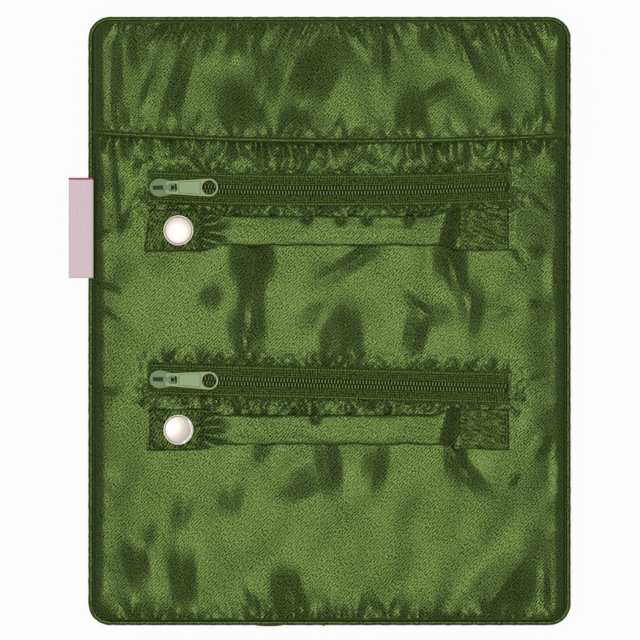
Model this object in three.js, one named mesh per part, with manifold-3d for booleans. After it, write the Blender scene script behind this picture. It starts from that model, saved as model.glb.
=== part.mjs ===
// Jewelry roll, open and lying flat, in millimetres with +Z up.
// The origin is the middle of the panel on the table, and +Y runs towards the slip pocket.

import * as THREE from 'three';
import { mergeVertices } from 'three/addons/utils/BufferGeometryUtils.js';
import loadManifold from 'manifold-3d';

const kernel = await loadManifold();
kernel.setup();

const { clamp, degToRad, lerp, mapLinear, smoothstep } = THREE.MathUtils;

// Panel
const PANEL_WIDTH = 199;
const PANEL_LENGTH = 251;
const PANEL_CORNER_RADIUS = 9;
const PANEL_THICKNESS = 6;
const FABRIC_THICKNESS = 0.6;
const EDGE_ROLL = 14;
const EDGE_UNDERSIDE_Z = 1.5;
const PIPING_DIAMETER = 2.2;
const CLEARANCE = 0.3;

// Fold lines between the four sections
const POCKET_FOLD_Y = 71;
const UPPER_FOLD_Y = 16.6;
const FLAP_FOLD_Y = -66;
const FOLD_GAP = 0.4;

// Slip pocket
const SLIP_MOUTH_Y = 75.6;
const SLIP_MOUTH_SAG = 4;
const SLIP_POCKET_RISE = 5.4;
const SLIP_FRONT_THICKNESS = 0.7;

// Side label
const LABEL_LOW_Y = 17.7;
const LABEL_LENGTH = 41.1;
const LABEL_REACH = 7.9;
const LABEL_TAPE_THICKNESS = 0.3;

// Zips
const ZIP_1_Y = 54.8;
const ZIP_2_Y = -25.8;
const ZIP_2_TILT = degToRad(-1.5);
const SIDE_MARGIN = 25.7;
const WINDOW_WIDTH = 14.2;
const WINDOW_CORNER_RADIUS = 1.2;
const TAPE_SEAM = 4.2;
const TAPE_WIDTH = 11.3;
const TAPE_THICKNESS = 0.5;
const COIL_PITCH = 1.3;
const COIL_TOOTH_WIDTH = 0.5;
const COIL_SPINE_WIDTH = 0.8;
const COIL_MESH_DEPTH = 0.7;
const COIL_HEIGHT = 1.5;
const BAG_SEAM = 0.7;
const BAG_REACH_UP = 11;
const BAG_REACH_DOWN = 34;
const BAG_DEPTH = 2.3;
const BAG_FABRIC = 0.4;

// Zip slider
const SLIDER_OVERHANG = 0.2;
const SLIDER_NOSE = 4.4;
const SLIDER_TAIL = 6;
const SLIDER_HALF_WIDTH = 3.75;
const SLIDER_PLATE = 0.8;
const SLIDER_WALL = 0.4;
const SLIDER_TAPE_GAP = 0.5;
const WEDGE_SETBACK = 1.2;
const WEDGE_LENGTH = 3.5;
const WEDGE_HALF_WIDTH = 0.8;
const BRIDGE_WIDTH = 1.6;
const BRIDGE_HEIGHT = 3;
const BRIDGE_LEG = 1.2;
const BRIDGE_GAP_LENGTH = 3.2;
const BRIDGE_GAP_HEIGHT = 2.2;

// Zip pull
const PULL_AXIS_X = 2.9;
const PULL_LENGTH = 21.7;
const PULL_THICKNESS = 1.2;
const PULL_EYE_END_HALF_WIDTH = 2.6;
const PULL_GRIP_RADIUS = 3.75;
const PULL_HOLE_RADIUS = 2.9;
const PULL_BAR = 1.4;
const PULL_EYE_LENGTH = 3.3;
const PULL_EYE_WIDTH = 3.2;
const PULL_RIM = 0.8;
const PULL_FACE_RECESS = 0.3;

// Ring bars
const BAR_1_Y = 37.2;
const BAR_2_Y = -44.6;
const BAR_TAB_LENGTH = 17.8;
const BAR_HALF_WIDTH = 5.8;
const BAR_HEIGHT = 6;
const BAR_FLAT_HALF_WIDTH = 8.2;
const BAR_ROOT_THICKNESS = 1.6;
const BAR_TAPER = 10;
const BAR_TAB_THICKNESS = 1;
const BAR_SKIN = 0.5;
const ANCHOR_LENGTH = 21;
const ANCHOR_TONGUE = 2.7;
const ANCHOR_TONGUE_THICKNESS = 0.4;
const ANCHOR_THICKNESS = 1;

// Snap fasteners
const SNAP_INSET = 11.8;
const SNAP_SEAT = 0.05;
const CAP_RADIUS = 6.25;
const CAP_RIM = 0.4;
const CAP_DOME = 1.9;
const CAP_POST_RADIUS = 1.2;
const SOCKET_RADIUS = 5.25;
const SOCKET_WEB = 0.8;
const SOCKET_CHAMFER = 0.4;
const SNAP_PLAY = 0.4;
const STUD_FLANGE_RADIUS = 4.7;
const STUD_FLANGE = 0.6;
const STUD_HEAD_RADIUS = 2.1;
const STUD_NECK = 0.3;
const STUD_HEIGHT = 1.9;
const EYELET_FLANGE_RADIUS = 3.6;
const EYELET_FLANGE = 0.5;
const EYELET_BARREL_RADIUS = 1;

// Heights and half sizes worked out from the driving dimensions
const PIPING_RADIUS = PIPING_DIAMETER / 2;
const INNER_HALF_WIDTH = PANEL_WIDTH / 2 - PIPING_DIAMETER - CLEARANCE;
const INNER_HALF_LENGTH = PANEL_LENGTH / 2 - PIPING_DIAMETER - CLEARANCE;
const INNER_CORNER_RADIUS = PANEL_CORNER_RADIUS - PIPING_DIAMETER - CLEARANCE;
const EDGE_TOP_Z = EDGE_UNDERSIDE_Z + PIPING_DIAMETER;
const PIPING_Z = EDGE_UNDERSIDE_Z + PIPING_RADIUS;
const TAPE_TOP_Z = PANEL_THICKNESS - FABRIC_THICKNESS - CLEARANCE;
const TAPE_UNDERSIDE_Z = TAPE_TOP_Z - TAPE_THICKNESS;
const TAPE_INNER_Y = WEDGE_HALF_WIDTH + CLEARANCE;
const TAPE_OUTER_Y = TAPE_INNER_Y + TAPE_WIDTH;
const BAG_TOP_Z = TAPE_UNDERSIDE_Z - CLEARANCE;
const BAG_BASE_Z = BAG_TOP_Z - BAG_DEPTH;
const WINDOW_LENGTH = PANEL_WIDTH - 2 * SIDE_MARGIN;
const TAPE_LENGTH = WINDOW_LENGTH + 2 * TAPE_SEAM;
const BAG_WIDTH = WINDOW_LENGTH + 2 * BAG_SEAM;
const SLIDER_X = SLIDER_NOSE - SLIDER_OVERHANG - WINDOW_LENGTH / 2;
const COIL_START_X = SLIDER_X - SLIDER_NOSE + WEDGE_SETBACK + WEDGE_LENGTH + 2 * CLEARANCE;
const COIL_END_X = WINDOW_LENGTH / 2 - 2 * CLEARANCE;
const SLIDER_TAIL_HALF_WIDTH = TAPE_INNER_Y + COIL_SPINE_WIDTH + CLEARANCE + SLIDER_WALL;
const SLIDER_LOW_Z = TAPE_UNDERSIDE_Z - SLIDER_TAPE_GAP - SLIDER_PLATE;
const SLIDER_ROOF_Z = TAPE_TOP_Z + COIL_HEIGHT + CLEARANCE;
const SLIDER_TOP_Z = SLIDER_ROOF_Z + SLIDER_PLATE;
const PULL_AXIS_Z = SLIDER_TOP_Z + BRIDGE_GAP_HEIGHT / 2;
const BAR_TAB_END_X = -WINDOW_LENGTH / 2;
const BAR_TAB_ROOT_X = BAR_TAB_END_X + BAR_TAB_LENGTH;
const ANCHOR_START_X = WINDOW_LENGTH / 2 - ANCHOR_LENGTH;
const BAR_ROOT_X = ANCHOR_START_X - CLEARANCE;
const SNAP_X = BAR_TAB_END_X + SNAP_INSET;
const BAR_UNDERSIDE_Z = PANEL_THICKNESS + CLEARANCE;
const STUD_LOW_Z = PANEL_THICKNESS + SNAP_SEAT;
const STUD_TOP_Z = STUD_LOW_Z + STUD_HEIGHT;
const SOCKET_LOW_Z = STUD_LOW_Z + STUD_FLANGE + CLEARANCE;
const SOCKET_WEB_Z = STUD_TOP_Z + CLEARANCE;
const SOCKET_TOP_Z = SOCKET_WEB_Z + SOCKET_WEB;
const TAB_LOW_Z = SOCKET_TOP_Z + SNAP_SEAT;
const TAB_TOP_Z = TAB_LOW_Z + BAR_TAB_THICKNESS;
const CUT_MARGIN = 1;

// Materials
const satin = new THREE.MeshStandardMaterial({ color: '#5f7a3a', roughness: 0.45, metalness: 0 });
const bagCloth = new THREE.MeshStandardMaterial({ color: '#4a6030', roughness: 0.6, metalness: 0 });
const coverCloth = new THREE.MeshStandardMaterial({ color: '#8e2348', roughness: 0.7, metalness: 0 });
const fill = new THREE.MeshStandardMaterial({ color: '#e9e7df', roughness: 0.95, metalness: 0 });
const tapeCloth = new THREE.MeshStandardMaterial({ color: '#3b4d1d', roughness: 0.85, metalness: 0 });
const labelCloth = new THREE.MeshStandardMaterial({ color: '#dccbd1', roughness: 0.8, metalness: 0 });
const nylon = new THREE.MeshStandardMaterial({ color: '#435427', roughness: 0.4, metalness: 0 });
const paint = new THREE.MeshStandardMaterial({ color: '#97a583', roughness: 0.35, metalness: 0.3 });
const nickel = new THREE.MeshStandardMaterial({ color: '#d4d0c4', roughness: 0.2, metalness: 1 });

// Solids: a closed geometry goes in with its vertices merged and its faces pointing out
function toSolid(geometry) {
  const bare = new THREE.BufferGeometry();
  bare.setAttribute('position', geometry.getAttribute('position'));
  bare.setIndex(geometry.index);
  const merged = mergeVertices(bare, 1e-4);
  const corners = merged.index.array;
  const triangles = [];
  for (let i = 0; i < corners.length; i += 3) {
    const [a, b, c] = corners.slice(i, i + 3);
    if (a !== b && b !== c && c !== a) {
      triangles.push(a, b, c);
    }
  }
  const position = merged.getAttribute('position');
  if (signedVolume(position, triangles) < 0) {
    triangles.reverse();
  }
  return new kernel.Manifold(new kernel.Mesh({
    numProp: 3,
    vertProperties: new Float32Array(position.array),
    triVerts: new Uint32Array(triangles),
  }));
}

function signedVolume(position, triangles) {
  const corner = [new THREE.Vector3(), new THREE.Vector3(), new THREE.Vector3()];
  let volume = 0;
  for (let i = 0; i < triangles.length; i += 3) {
    corner.forEach((point, k) => point.fromBufferAttribute(position, triangles[i + k]));
    volume += corner[0].dot(corner[1].cross(corner[2])) / 6;
  }
  return volume;
}

function fromSolid(body) {
  const skin = body.getMesh();
  const geometry = new THREE.BufferGeometry();
  geometry.setAttribute('position', new THREE.BufferAttribute(skin.vertProperties, 3));
  geometry.setIndex(new THREE.BufferAttribute(skin.triVerts, 1));
  geometry.computeVertexNormals();
  return geometry;
}

function join(...geometries) {
  return fromSolid(geometries.map(toSolid).reduce((whole, part) => whole.add(part)));
}

function cut(geometry, ...tools) {
  return fromSolid(tools.map(toSolid).reduce((rest, tool) => rest.subtract(tool), toSolid(geometry)));
}

function overlap(geometry, other) {
  return fromSolid(toSolid(geometry).intersect(toSolid(other)));
}

function piece(name, geometry, material) {
  const mesh = new THREE.Mesh(fromSolid(toSolid(geometry)), material);
  mesh.name = name;
  return mesh;
}

function buffer(positions, index) {
  const geometry = new THREE.BufferGeometry();
  geometry.setAttribute('position', new THREE.Float32BufferAttribute(positions, 3));
  geometry.setIndex(index);
  return geometry;
}

function bare(geometry) {
  geometry.deleteAttribute('uv');
  geometry.deleteAttribute('normal');
  return mergeVertices(geometry, 1e-4);
}

// A closed sheet or pad over a grid, where corner(i, j) gives x, y, underside and top
function pad(columns, rows, corner) {
  const across = columns + 1;
  const layer = across * (rows + 1);
  const underside = [];
  const top = [];
  for (let j = 0; j <= rows; j += 1) {
    for (let i = 0; i <= columns; i += 1) {
      const { x, y, low, high } = corner(i, j);
      underside.push(x, y, low);
      top.push(x, y, high);
    }
  }
  const index = [];
  const wall = (a, b) => index.push(a, b, b + layer, a, b + layer, a + layer);
  for (let j = 0; j < rows; j += 1) {
    for (let i = 0; i < columns; i += 1) {
      const a = j * across + i;
      const b = a + 1;
      const c = b + across;
      const d = a + across;
      index.push(a + layer, b + layer, c + layer, a + layer, c + layer, d + layer);
      index.push(a, c, b, a, d, c);
    }
  }
  for (let i = 0; i < columns; i += 1) {
    wall(i, i + 1);
    wall(rows * across + i + 1, rows * across + i);
  }
  for (let j = 0; j < rows; j += 1) {
    wall((j + 1) * across, j * across);
    wall(j * across + columns, (j + 1) * across + columns);
  }
  return buffer([...underside, ...top], index);
}

// A closed skin through rings of points
function loft(rings) {
  const sides = rings[0].length;
  const index = [];
  for (let k = 0; k + 1 < rings.length; k += 1) {
    for (let i = 0; i < sides; i += 1) {
      const a = k * sides + i;
      const b = k * sides + (i + 1) % sides;
      index.push(a, b, b + sides, a, b + sides, a + sides);
    }
  }
  const last = (rings.length - 1) * sides;
  for (let i = 1; i + 1 < sides; i += 1) {
    index.push(0, i + 1, i, last, last + i, last + i + 1);
  }
  return buffer(rings.flat().flatMap((point) => point.toArray()), index);
}

// A round cord along a path
function cord(path, radius) {
  const sides = 8;
  const up = new THREE.Vector3(0, 0, 1);
  return loft(path.map((point, k) => {
    const behind = path[Math.max(k - 1, 0)];
    const ahead = path[Math.min(k + 1, path.length - 1)];
    const tangent = new THREE.Vector3().subVectors(ahead, behind).normalize();
    const side = new THREE.Vector3().crossVectors(up, tangent).normalize();
    const rise = new THREE.Vector3().crossVectors(tangent, side);
    return Array.from({ length: sides }, (_, i) => {
      const turn = (2 * Math.PI * i) / sides;
      return point.clone()
        .addScaledVector(side, radius * Math.cos(turn))
        .addScaledVector(rise, radius * Math.sin(turn));
    });
  }));
}

// An outline in X and Y, raised from one height to another
function prism(shape, low, high, curveSegments = 8) {
  const options = { depth: high - low, bevelEnabled: false, curveSegments };
  return bare(new THREE.ExtrudeGeometry(shape, options).translate(0, 0, low));
}

// An outline in X and Z, drawn across Y
function crossPrism(shape, lowY, highY) {
  const options = { depth: highY - lowY, bevelEnabled: false, curveSegments: 4 };
  return bare(new THREE.ExtrudeGeometry(shape, options).rotateX(Math.PI / 2).translate(0, highY, 0));
}

// A profile of [radius, z] points turned about the Z axis
function turned(profile, segments) {
  const points = profile.map(([radius, z]) => new THREE.Vector2(radius, z));
  return bare(new THREE.LatheGeometry(points, segments).rotateX(Math.PI / 2));
}

function disc(radius, low, high, segments) {
  return turned([[0, low], [radius, low], [radius, high], [0, high]], segments);
}

function rectangle(x0, x1, y0, y1, radius = 0) {
  if (radius === 0) {
    return outline([[x0, y0], [x1, y0], [x1, y1], [x0, y1]]);
  }
  const shape = new THREE.Shape();
  shape.absarc(x1 - radius, y0 + radius, radius, -Math.PI / 2, 0);
  shape.absarc(x1 - radius, y1 - radius, radius, 0, Math.PI / 2);
  shape.absarc(x0 + radius, y1 - radius, radius, Math.PI / 2, Math.PI);
  shape.absarc(x0 + radius, y0 + radius, radius, Math.PI, 1.5 * Math.PI);
  return shape;
}

function outline(points) {
  return new THREE.Shape(points.map(([x, y]) => new THREE.Vector2(x, y)));
}

// Padded surface: the panel rolls over towards its seam
function insetFromSeam(x, y) {
  const dx = Math.abs(x) - (INNER_HALF_WIDTH - INNER_CORNER_RADIUS);
  const dy = Math.abs(y) - (INNER_HALF_LENGTH - INNER_CORNER_RADIUS);
  const outside = Math.hypot(Math.max(dx, 0), Math.max(dy, 0));
  return INNER_CORNER_RADIUS - outside - Math.min(Math.max(dx, dy), 0);
}

function edgeRoll(x, y) {
  return (1 - clamp(insetFromSeam(x, y) / EDGE_ROLL, 0, 1)) ** 2;
}

function panelUndersideZ(x, y) {
  return EDGE_UNDERSIDE_Z * edgeRoll(x, y);
}

function panelTopZ(x, y) {
  return PANEL_THICKNESS - (PANEL_THICKNESS - EDGE_TOP_Z) * edgeRoll(x, y);
}

function seamOutline() {
  const [x, y] = [INNER_HALF_WIDTH, INNER_HALF_LENGTH];
  return prism(rectangle(-x, x, -y, y, INNER_CORNER_RADIUS), -CUT_MARGIN, 4 * PANEL_THICKNESS);
}

// Grid lines from one edge to the other, close together where an edge rolls over
function gridLines(low, high, rollsLow, rollsHigh) {
  const steps = [0.25, 0.55, 1].map((share) => share * EDGE_ROLL);
  const fromLow = rollsLow ? steps.map((step) => low + step) : [];
  const fromHigh = rollsHigh ? steps.map((step) => high - step).reverse() : [];
  return [low, ...fromLow, ...fromHigh, high];
}

// One layer of a section of the panel, between two surfaces
function layer(section, lowZ, highZ) {
  const xs = gridLines(-INNER_HALF_WIDTH, INNER_HALF_WIDTH, true, true);
  const ys = gridLines(section.lowY, section.highY, section.endsLow, section.endsHigh);
  const sheet = pad(xs.length - 1, ys.length - 1, (i, j) => ({
    x: xs[i],
    y: ys[j],
    low: lowZ(xs[i], ys[j]),
    high: highZ(xs[i], ys[j]),
  }));
  return section.endsLow || section.endsHigh ? overlap(sheet, seamOutline()) : sheet;
}

function coverOf(section) {
  return layer(section, panelUndersideZ, (x, y) => panelUndersideZ(x, y) + FABRIC_THICKNESS);
}

function waddingOf(section) {
  const inset = FABRIC_THICKNESS + CLEARANCE;
  return layer(section, (x, y) => panelUndersideZ(x, y) + inset, (x, y) => panelTopZ(x, y) - inset);
}

function liningOf(section) {
  return layer(section, (x, y) => panelTopZ(x, y) - FABRIC_THICKNESS, panelTopZ);
}

// The four sections, parted at the fold lines
const pocketSection = {
  name: 'pocket_section',
  lowY: POCKET_FOLD_Y + FOLD_GAP / 2,
  highY: INNER_HALF_LENGTH,
  endsHigh: true,
};
const upperSection = {
  name: 'upper_section',
  lowY: UPPER_FOLD_Y + FOLD_GAP / 2,
  highY: POCKET_FOLD_Y - FOLD_GAP / 2,
};
const lowerSection = {
  name: 'lower_section',
  lowY: FLAP_FOLD_Y + FOLD_GAP / 2,
  highY: UPPER_FOLD_Y - FOLD_GAP / 2,
};
const flapSection = {
  name: 'flap_section',
  lowY: -INNER_HALF_LENGTH,
  highY: FLAP_FOLD_Y - FOLD_GAP / 2,
  endsLow: true,
};

// End section: plain layers, and piping that turns two corners
function endSection(section) {
  const group = new THREE.Group();
  group.add(piece(`${section.name}_cover`, coverOf(section), coverCloth));
  group.add(piece(`${section.name}_wadding`, waddingOf(section), fill));
  group.add(piece(`${section.name}_lining`, liningOf(section), satin));
  group.add(piece(`${section.name}_piping`, cord(endPipingPath(section), PIPING_RADIUS), satin));
  return group;
}

function endPipingPath(section) {
  const turns = 6;
  const up = section.endsHigh ? 1 : -1;
  const startY = section.endsHigh ? section.lowY : section.highY;
  const halfWidth = PANEL_WIDTH / 2 - PIPING_RADIUS;
  const halfLength = PANEL_LENGTH / 2 - PIPING_RADIUS;
  const radius = PANEL_CORNER_RADIUS - PIPING_RADIUS;
  const left = Array.from({ length: turns + 1 }, (_, k) => {
    const turn = (k / turns) * (Math.PI / 2);
    const x = -halfWidth + radius * (1 - Math.cos(turn));
    const y = halfLength - radius * (1 - Math.sin(turn));
    return new THREE.Vector3(x, up * y, PIPING_Z);
  });
  left.unshift(new THREE.Vector3(-halfWidth, startY, PIPING_Z));
  const right = left.map((point) => new THREE.Vector3(-point.x, point.y, point.z)).reverse();
  return [...left, ...right];
}

// Slip pocket: a slack front sewn in at the sides and the top, with a piped mouth
function slipMouthY(x) {
  return SLIP_MOUTH_Y + SLIP_MOUTH_SAG * (x / INNER_HALF_WIDTH) ** 2;
}

function slipUndersideZ(x, y, along) {
  const rise = SLIP_POCKET_RISE * (1 - (x / INNER_HALF_WIDTH) ** 6) * (1 - along ** 2);
  return panelTopZ(x, y) + CLEARANCE + rise;
}

function slipFront() {
  const columns = 18;
  const rows = 7;
  const front = pad(columns, rows, (i, j) => {
    const x = INNER_HALF_WIDTH * Math.sin(((i / columns) * 2 - 1) * (Math.PI / 2));
    const along = Math.sin((j / rows) * (Math.PI / 2));
    const y = lerp(slipMouthY(x), INNER_HALF_LENGTH, along);
    const low = slipUndersideZ(x, y, along);
    return { x, y, low, high: low + SLIP_FRONT_THICKNESS };
  });
  return overlap(front, seamOutline());
}

function slipPipingPath() {
  const steps = 20;
  const reach = INNER_HALF_WIDTH - PIPING_RADIUS;
  return Array.from({ length: steps + 1 }, (_, k) => {
    const x = reach * Math.sin(((k / steps) * 2 - 1) * (Math.PI / 2));
    const y = slipMouthY(x);
    const z = slipUndersideZ(x, y, 0) + PIPING_RADIUS;
    return new THREE.Vector3(x, y - PIPING_RADIUS - CLEARANCE, z);
  });
}

function slipPocket() {
  const group = new THREE.Group();
  group.add(piece('slip_pocket_front', slipFront(), satin));
  group.add(piece('slip_pocket_piping', cord(slipPipingPath(), PIPING_RADIUS), satin));
  return group;
}

// Side label: a folded loop of woven tape that comes out of the left seam over the piping
function label() {
  const right = -INNER_HALF_WIDTH - CLEARANCE;
  const left = -PANEL_WIDTH / 2 - LABEL_REACH;
  const layers = [0, 1, 2, 3].map((k) => EDGE_TOP_Z + CLEARANCE + k * LABEL_TAPE_THICKNESS);
  const loop = rectangle(left, right, layers[0], layers[3]);
  const slit = rectangle(left + LABEL_TAPE_THICKNESS, right + CUT_MARGIN, layers[1], layers[2]);
  return cut(
    crossPrism(loop, LABEL_LOW_Y, LABEL_LOW_Y + LABEL_LENGTH),
    crossPrism(slit, LABEL_LOW_Y - CUT_MARGIN, LABEL_LOW_Y + LABEL_LENGTH + CUT_MARGIN),
  );
}

// Middle section: layers opened for a zip and a stud, and piping down both sides
function middleSection(section, zipY, zipTilt, barY) {
  const place = (geometry) => geometry.rotateZ(zipTilt).translate(0, zipY, 0);
  const stud = disc(EYELET_BARREL_RADIUS + SNAP_PLAY, 0, PANEL_THICKNESS + CUT_MARGIN, 12);
  const lining = cut(liningOf(section), place(zipWindow()), stud.translate(SNAP_X, barY, 0));
  const group = new THREE.Group();
  group.add(piece(`${section.name}_cover`, coverOf(section), coverCloth));
  group.add(piece(`${section.name}_wadding`, cut(waddingOf(section), place(bagRecess())), fill));
  group.add(piece(`${section.name}_lining`, lining, satin));
  group.add(piece(`${section.name}_piping_left`, sidePiping(section, -1), satin));
  group.add(piece(`${section.name}_piping_right`, sidePiping(section, 1), satin));
  return group;
}

function sidePiping(section, side) {
  const x = side * (PANEL_WIDTH / 2 - PIPING_RADIUS);
  const ends = [section.lowY, section.highY].map((y) => new THREE.Vector3(x, y, PIPING_Z));
  return cord(ends, PIPING_RADIUS);
}

function zipWindow() {
  const [x, y] = [WINDOW_LENGTH / 2, WINDOW_WIDTH / 2];
  return prism(rectangle(-x, x, -y, y, WINDOW_CORNER_RADIUS), 0, PANEL_THICKNESS + CUT_MARGIN, 4);
}

function bagRecess() {
  const x = Math.max(TAPE_LENGTH, BAG_WIDTH) / 2 + CLEARANCE;
  const low = -BAG_REACH_DOWN - CLEARANCE;
  const high = Math.max(TAPE_OUTER_Y, BAG_REACH_UP) + CLEARANCE;
  return prism(rectangle(-x, x, low, high), BAG_BASE_Z - CLEARANCE, PANEL_THICKNESS);
}

// Zip: two tapes, two rows of coil, a pocket bag, a slider and a pull
function zip(name, y, tilt) {
  const group = new THREE.Group();
  group.position.set(0, y, 0);
  group.rotation.set(0, 0, tilt);
  for (const [row, side] of [['upper', 1], ['lower', -1]]) {
    group.add(piece(`${name}_tape_${row}`, tape(side), tapeCloth));
    group.add(piece(`${name}_coil_${row}`, coilRow(side), nylon));
  }
  group.add(piece(`${name}_pocket_bag`, pocketBag(), bagCloth));
  const runner = piece(`${name}_slider`, slider(), paint);
  runner.position.set(SLIDER_X, 0, 0);
  const tag = piece(`${name}_pull`, pull(), paint);
  tag.position.set(SLIDER_X + PULL_AXIS_X, 0, PULL_AXIS_Z);
  group.add(runner, tag);
  return group;
}

function tape(side) {
  const x = TAPE_LENGTH / 2;
  const [low, high] = side > 0 ? [TAPE_INNER_Y, TAPE_OUTER_Y] : [-TAPE_OUTER_Y, -TAPE_INNER_Y];
  return prism(rectangle(-x, x, low, high), TAPE_UNDERSIDE_Z, TAPE_TOP_Z);
}

// A row of coil: a spine on the tape, with teeth that mesh between those of the other row
function coilRow(side) {
  const spineInner = TAPE_INNER_Y;
  const spineOuter = spineInner + COIL_SPINE_WIDTH;
  const firstX = COIL_START_X + (side > 0 ? 0.5 : 1) * COIL_PITCH;
  const count = Math.floor((COIL_END_X - COIL_TOOTH_WIDTH - firstX) / COIL_PITCH) + 1;
  const half = COIL_TOOTH_WIDTH / 2;
  const points = [[COIL_END_X, spineOuter], [COIL_START_X, spineOuter], [COIL_START_X, spineInner]];
  for (let k = 0; k < count; k += 1) {
    const x = firstX + k * COIL_PITCH;
    points.push([x - half, spineInner], [x - 0.8 * half, -COIL_MESH_DEPTH]);
    points.push([x + 0.8 * half, -COIL_MESH_DEPTH], [x + half, spineInner]);
  }
  points.push([COIL_END_X, spineInner]);
  return prism(outline(points.map(([x, y]) => [x, side * y])), TAPE_TOP_Z, TAPE_TOP_Z + COIL_HEIGHT);
}

// A flat pouch behind the lining, open towards the zip
function pocketBag() {
  const x = BAG_WIDTH / 2;
  const lip = -SLIDER_HALF_WIDTH - 2 * CLEARANCE;
  const inner = x - BAG_FABRIC;
  const [low, high] = [-BAG_REACH_DOWN + BAG_FABRIC, BAG_REACH_UP - BAG_FABRIC];
  const pouch = prism(rectangle(-x, x, -BAG_REACH_DOWN, BAG_REACH_UP), BAG_BASE_Z, BAG_TOP_Z);
  const inside = prism(rectangle(-inner, inner, low, high), BAG_BASE_Z + BAG_FABRIC, BAG_TOP_Z - BAG_FABRIC);
  const mouth = prism(rectangle(-inner, inner, lip, high), BAG_TOP_Z - 2 * BAG_FABRIC, BAG_TOP_Z + CUT_MARGIN);
  return cut(pouch, inside, mouth);
}

// Slider: two plates joined by a wedge, side walls under the roof, and a bridge that holds the pull
function sliderOutline(inset) {
  const halfWidth = SLIDER_HALF_WIDTH - inset;
  const shape = new THREE.Shape();
  shape.moveTo(SLIDER_TAIL, inset - SLIDER_TAIL_HALF_WIDTH);
  shape.lineTo(SLIDER_TAIL, SLIDER_TAIL_HALF_WIDTH - inset);
  shape.lineTo(0, halfWidth);
  shape.absellipse(0, 0, SLIDER_NOSE, halfWidth, Math.PI / 2, 1.5 * Math.PI);
  return shape;
}

function slider() {
  const wallLow = TAPE_TOP_Z + CLEARANCE;
  const base = prism(sliderOutline(0), SLIDER_LOW_Z, SLIDER_LOW_Z + SLIDER_PLATE);
  const roof = prism(sliderOutline(0), wallLow, SLIDER_TOP_Z);
  const channel = prism(sliderOutline(SLIDER_WALL), wallLow - CUT_MARGIN, SLIDER_ROOF_Z);
  const inner = SLIDER_TAIL_HALF_WIDTH - SLIDER_WALL;
  const tailMouth = prism(rectangle(0, SLIDER_TAIL + CUT_MARGIN, -inner, inner), 0, SLIDER_ROOF_Z);
  const noseX = -SLIDER_NOSE / 2;
  const noseMouth = prism(
    rectangle(-SLIDER_NOSE - CUT_MARGIN, noseX, -SLIDER_HALF_WIDTH, SLIDER_HALF_WIDTH), 0, SLIDER_ROOF_Z,
  );
  return join(cut(roof, channel, tailMouth, noseMouth), base, wedge(), bridge());
}

function wedge() {
  const front = -SLIDER_NOSE + WEDGE_SETBACK;
  const rear = front + WEDGE_LENGTH;
  const tip = WEDGE_HALF_WIDTH / 3;
  const plan = outline([[front, WEDGE_HALF_WIDTH], [front, -WEDGE_HALF_WIDTH], [rear, -tip], [rear, tip]]);
  return prism(plan, SLIDER_LOW_Z, SLIDER_TOP_Z);
}

function bridge() {
  const gapStart = PULL_AXIS_X - BRIDGE_GAP_LENGTH / 2;
  const gapEnd = PULL_AXIS_X + BRIDGE_GAP_LENGTH / 2;
  const rear = gapEnd + BRIDGE_LEG;
  const root = SLIDER_TOP_Z - SLIDER_PLATE / 2;
  const top = SLIDER_TOP_Z + BRIDGE_HEIGHT;
  const shoulder = SLIDER_TOP_Z + BRIDGE_HEIGHT / 2;
  const front = -SLIDER_NOSE * 0.7;
  const side = outline([[front, root], [rear, root], [rear, shoulder], [gapEnd, top], [gapStart, top],
    [front, SLIDER_TOP_Z + BRIDGE_HEIGHT / 6]]);
  const gap = rectangle(gapStart, gapEnd, SLIDER_TOP_Z, SLIDER_TOP_Z + BRIDGE_GAP_HEIGHT, BRIDGE_LEG / 3);
  return cut(
    crossPrism(side, -BRIDGE_WIDTH / 2, BRIDGE_WIDTH / 2),
    crossPrism(gap, -BRIDGE_WIDTH, BRIDGE_WIDTH),
  );
}

// Pull: a tapered tag with an eye round the bridge, a recessed face and a finger hole
function pull() {
  const [low, high] = [-PULL_THICKNESS / 2, PULL_THICKNESS / 2];
  const start = -PULL_BAR / 2;
  const eyeEnd = -start + PULL_EYE_LENGTH;
  const gripX = start + PULL_LENGTH - PULL_GRIP_RADIUS;
  const halfWidth = (x) => mapLinear(x, start, gripX, PULL_EYE_END_HALF_WIDTH, PULL_GRIP_RADIUS);
  const tapered = (x0, x1, rim) => outline([
    [x0, rim - halfWidth(x0)], [x1, rim - halfWidth(x1)], [x1, halfWidth(x1) - rim], [x0, halfWidth(x0) - rim],
  ]);
  const tag = prism(tapered(start, gripX, 0), low, high);
  const grip = disc(PULL_GRIP_RADIUS, low, high, 28).translate(gripX, 0, 0);
  const hole = disc(PULL_HOLE_RADIUS, low - CUT_MARGIN, high + CUT_MARGIN, 28).translate(gripX, 0, 0);
  const eyeHalf = PULL_EYE_WIDTH / 2;
  const eye = prism(
    rectangle(-start, eyeEnd, -eyeHalf, eyeHalf, eyeHalf / 2), low - CUT_MARGIN, high + CUT_MARGIN, 4,
  );
  const face = tapered(eyeEnd + PULL_RIM, gripX - PULL_HOLE_RADIUS - PULL_RIM, PULL_RIM);
  const upperRecess = prism(face, high - PULL_FACE_RECESS, high + CUT_MARGIN);
  const lowerRecess = prism(face, low - CUT_MARGIN, low + PULL_FACE_RECESS);
  return cut(join(tag, grip), hole, eye, upperRecess, lowerRecess);
}

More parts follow.
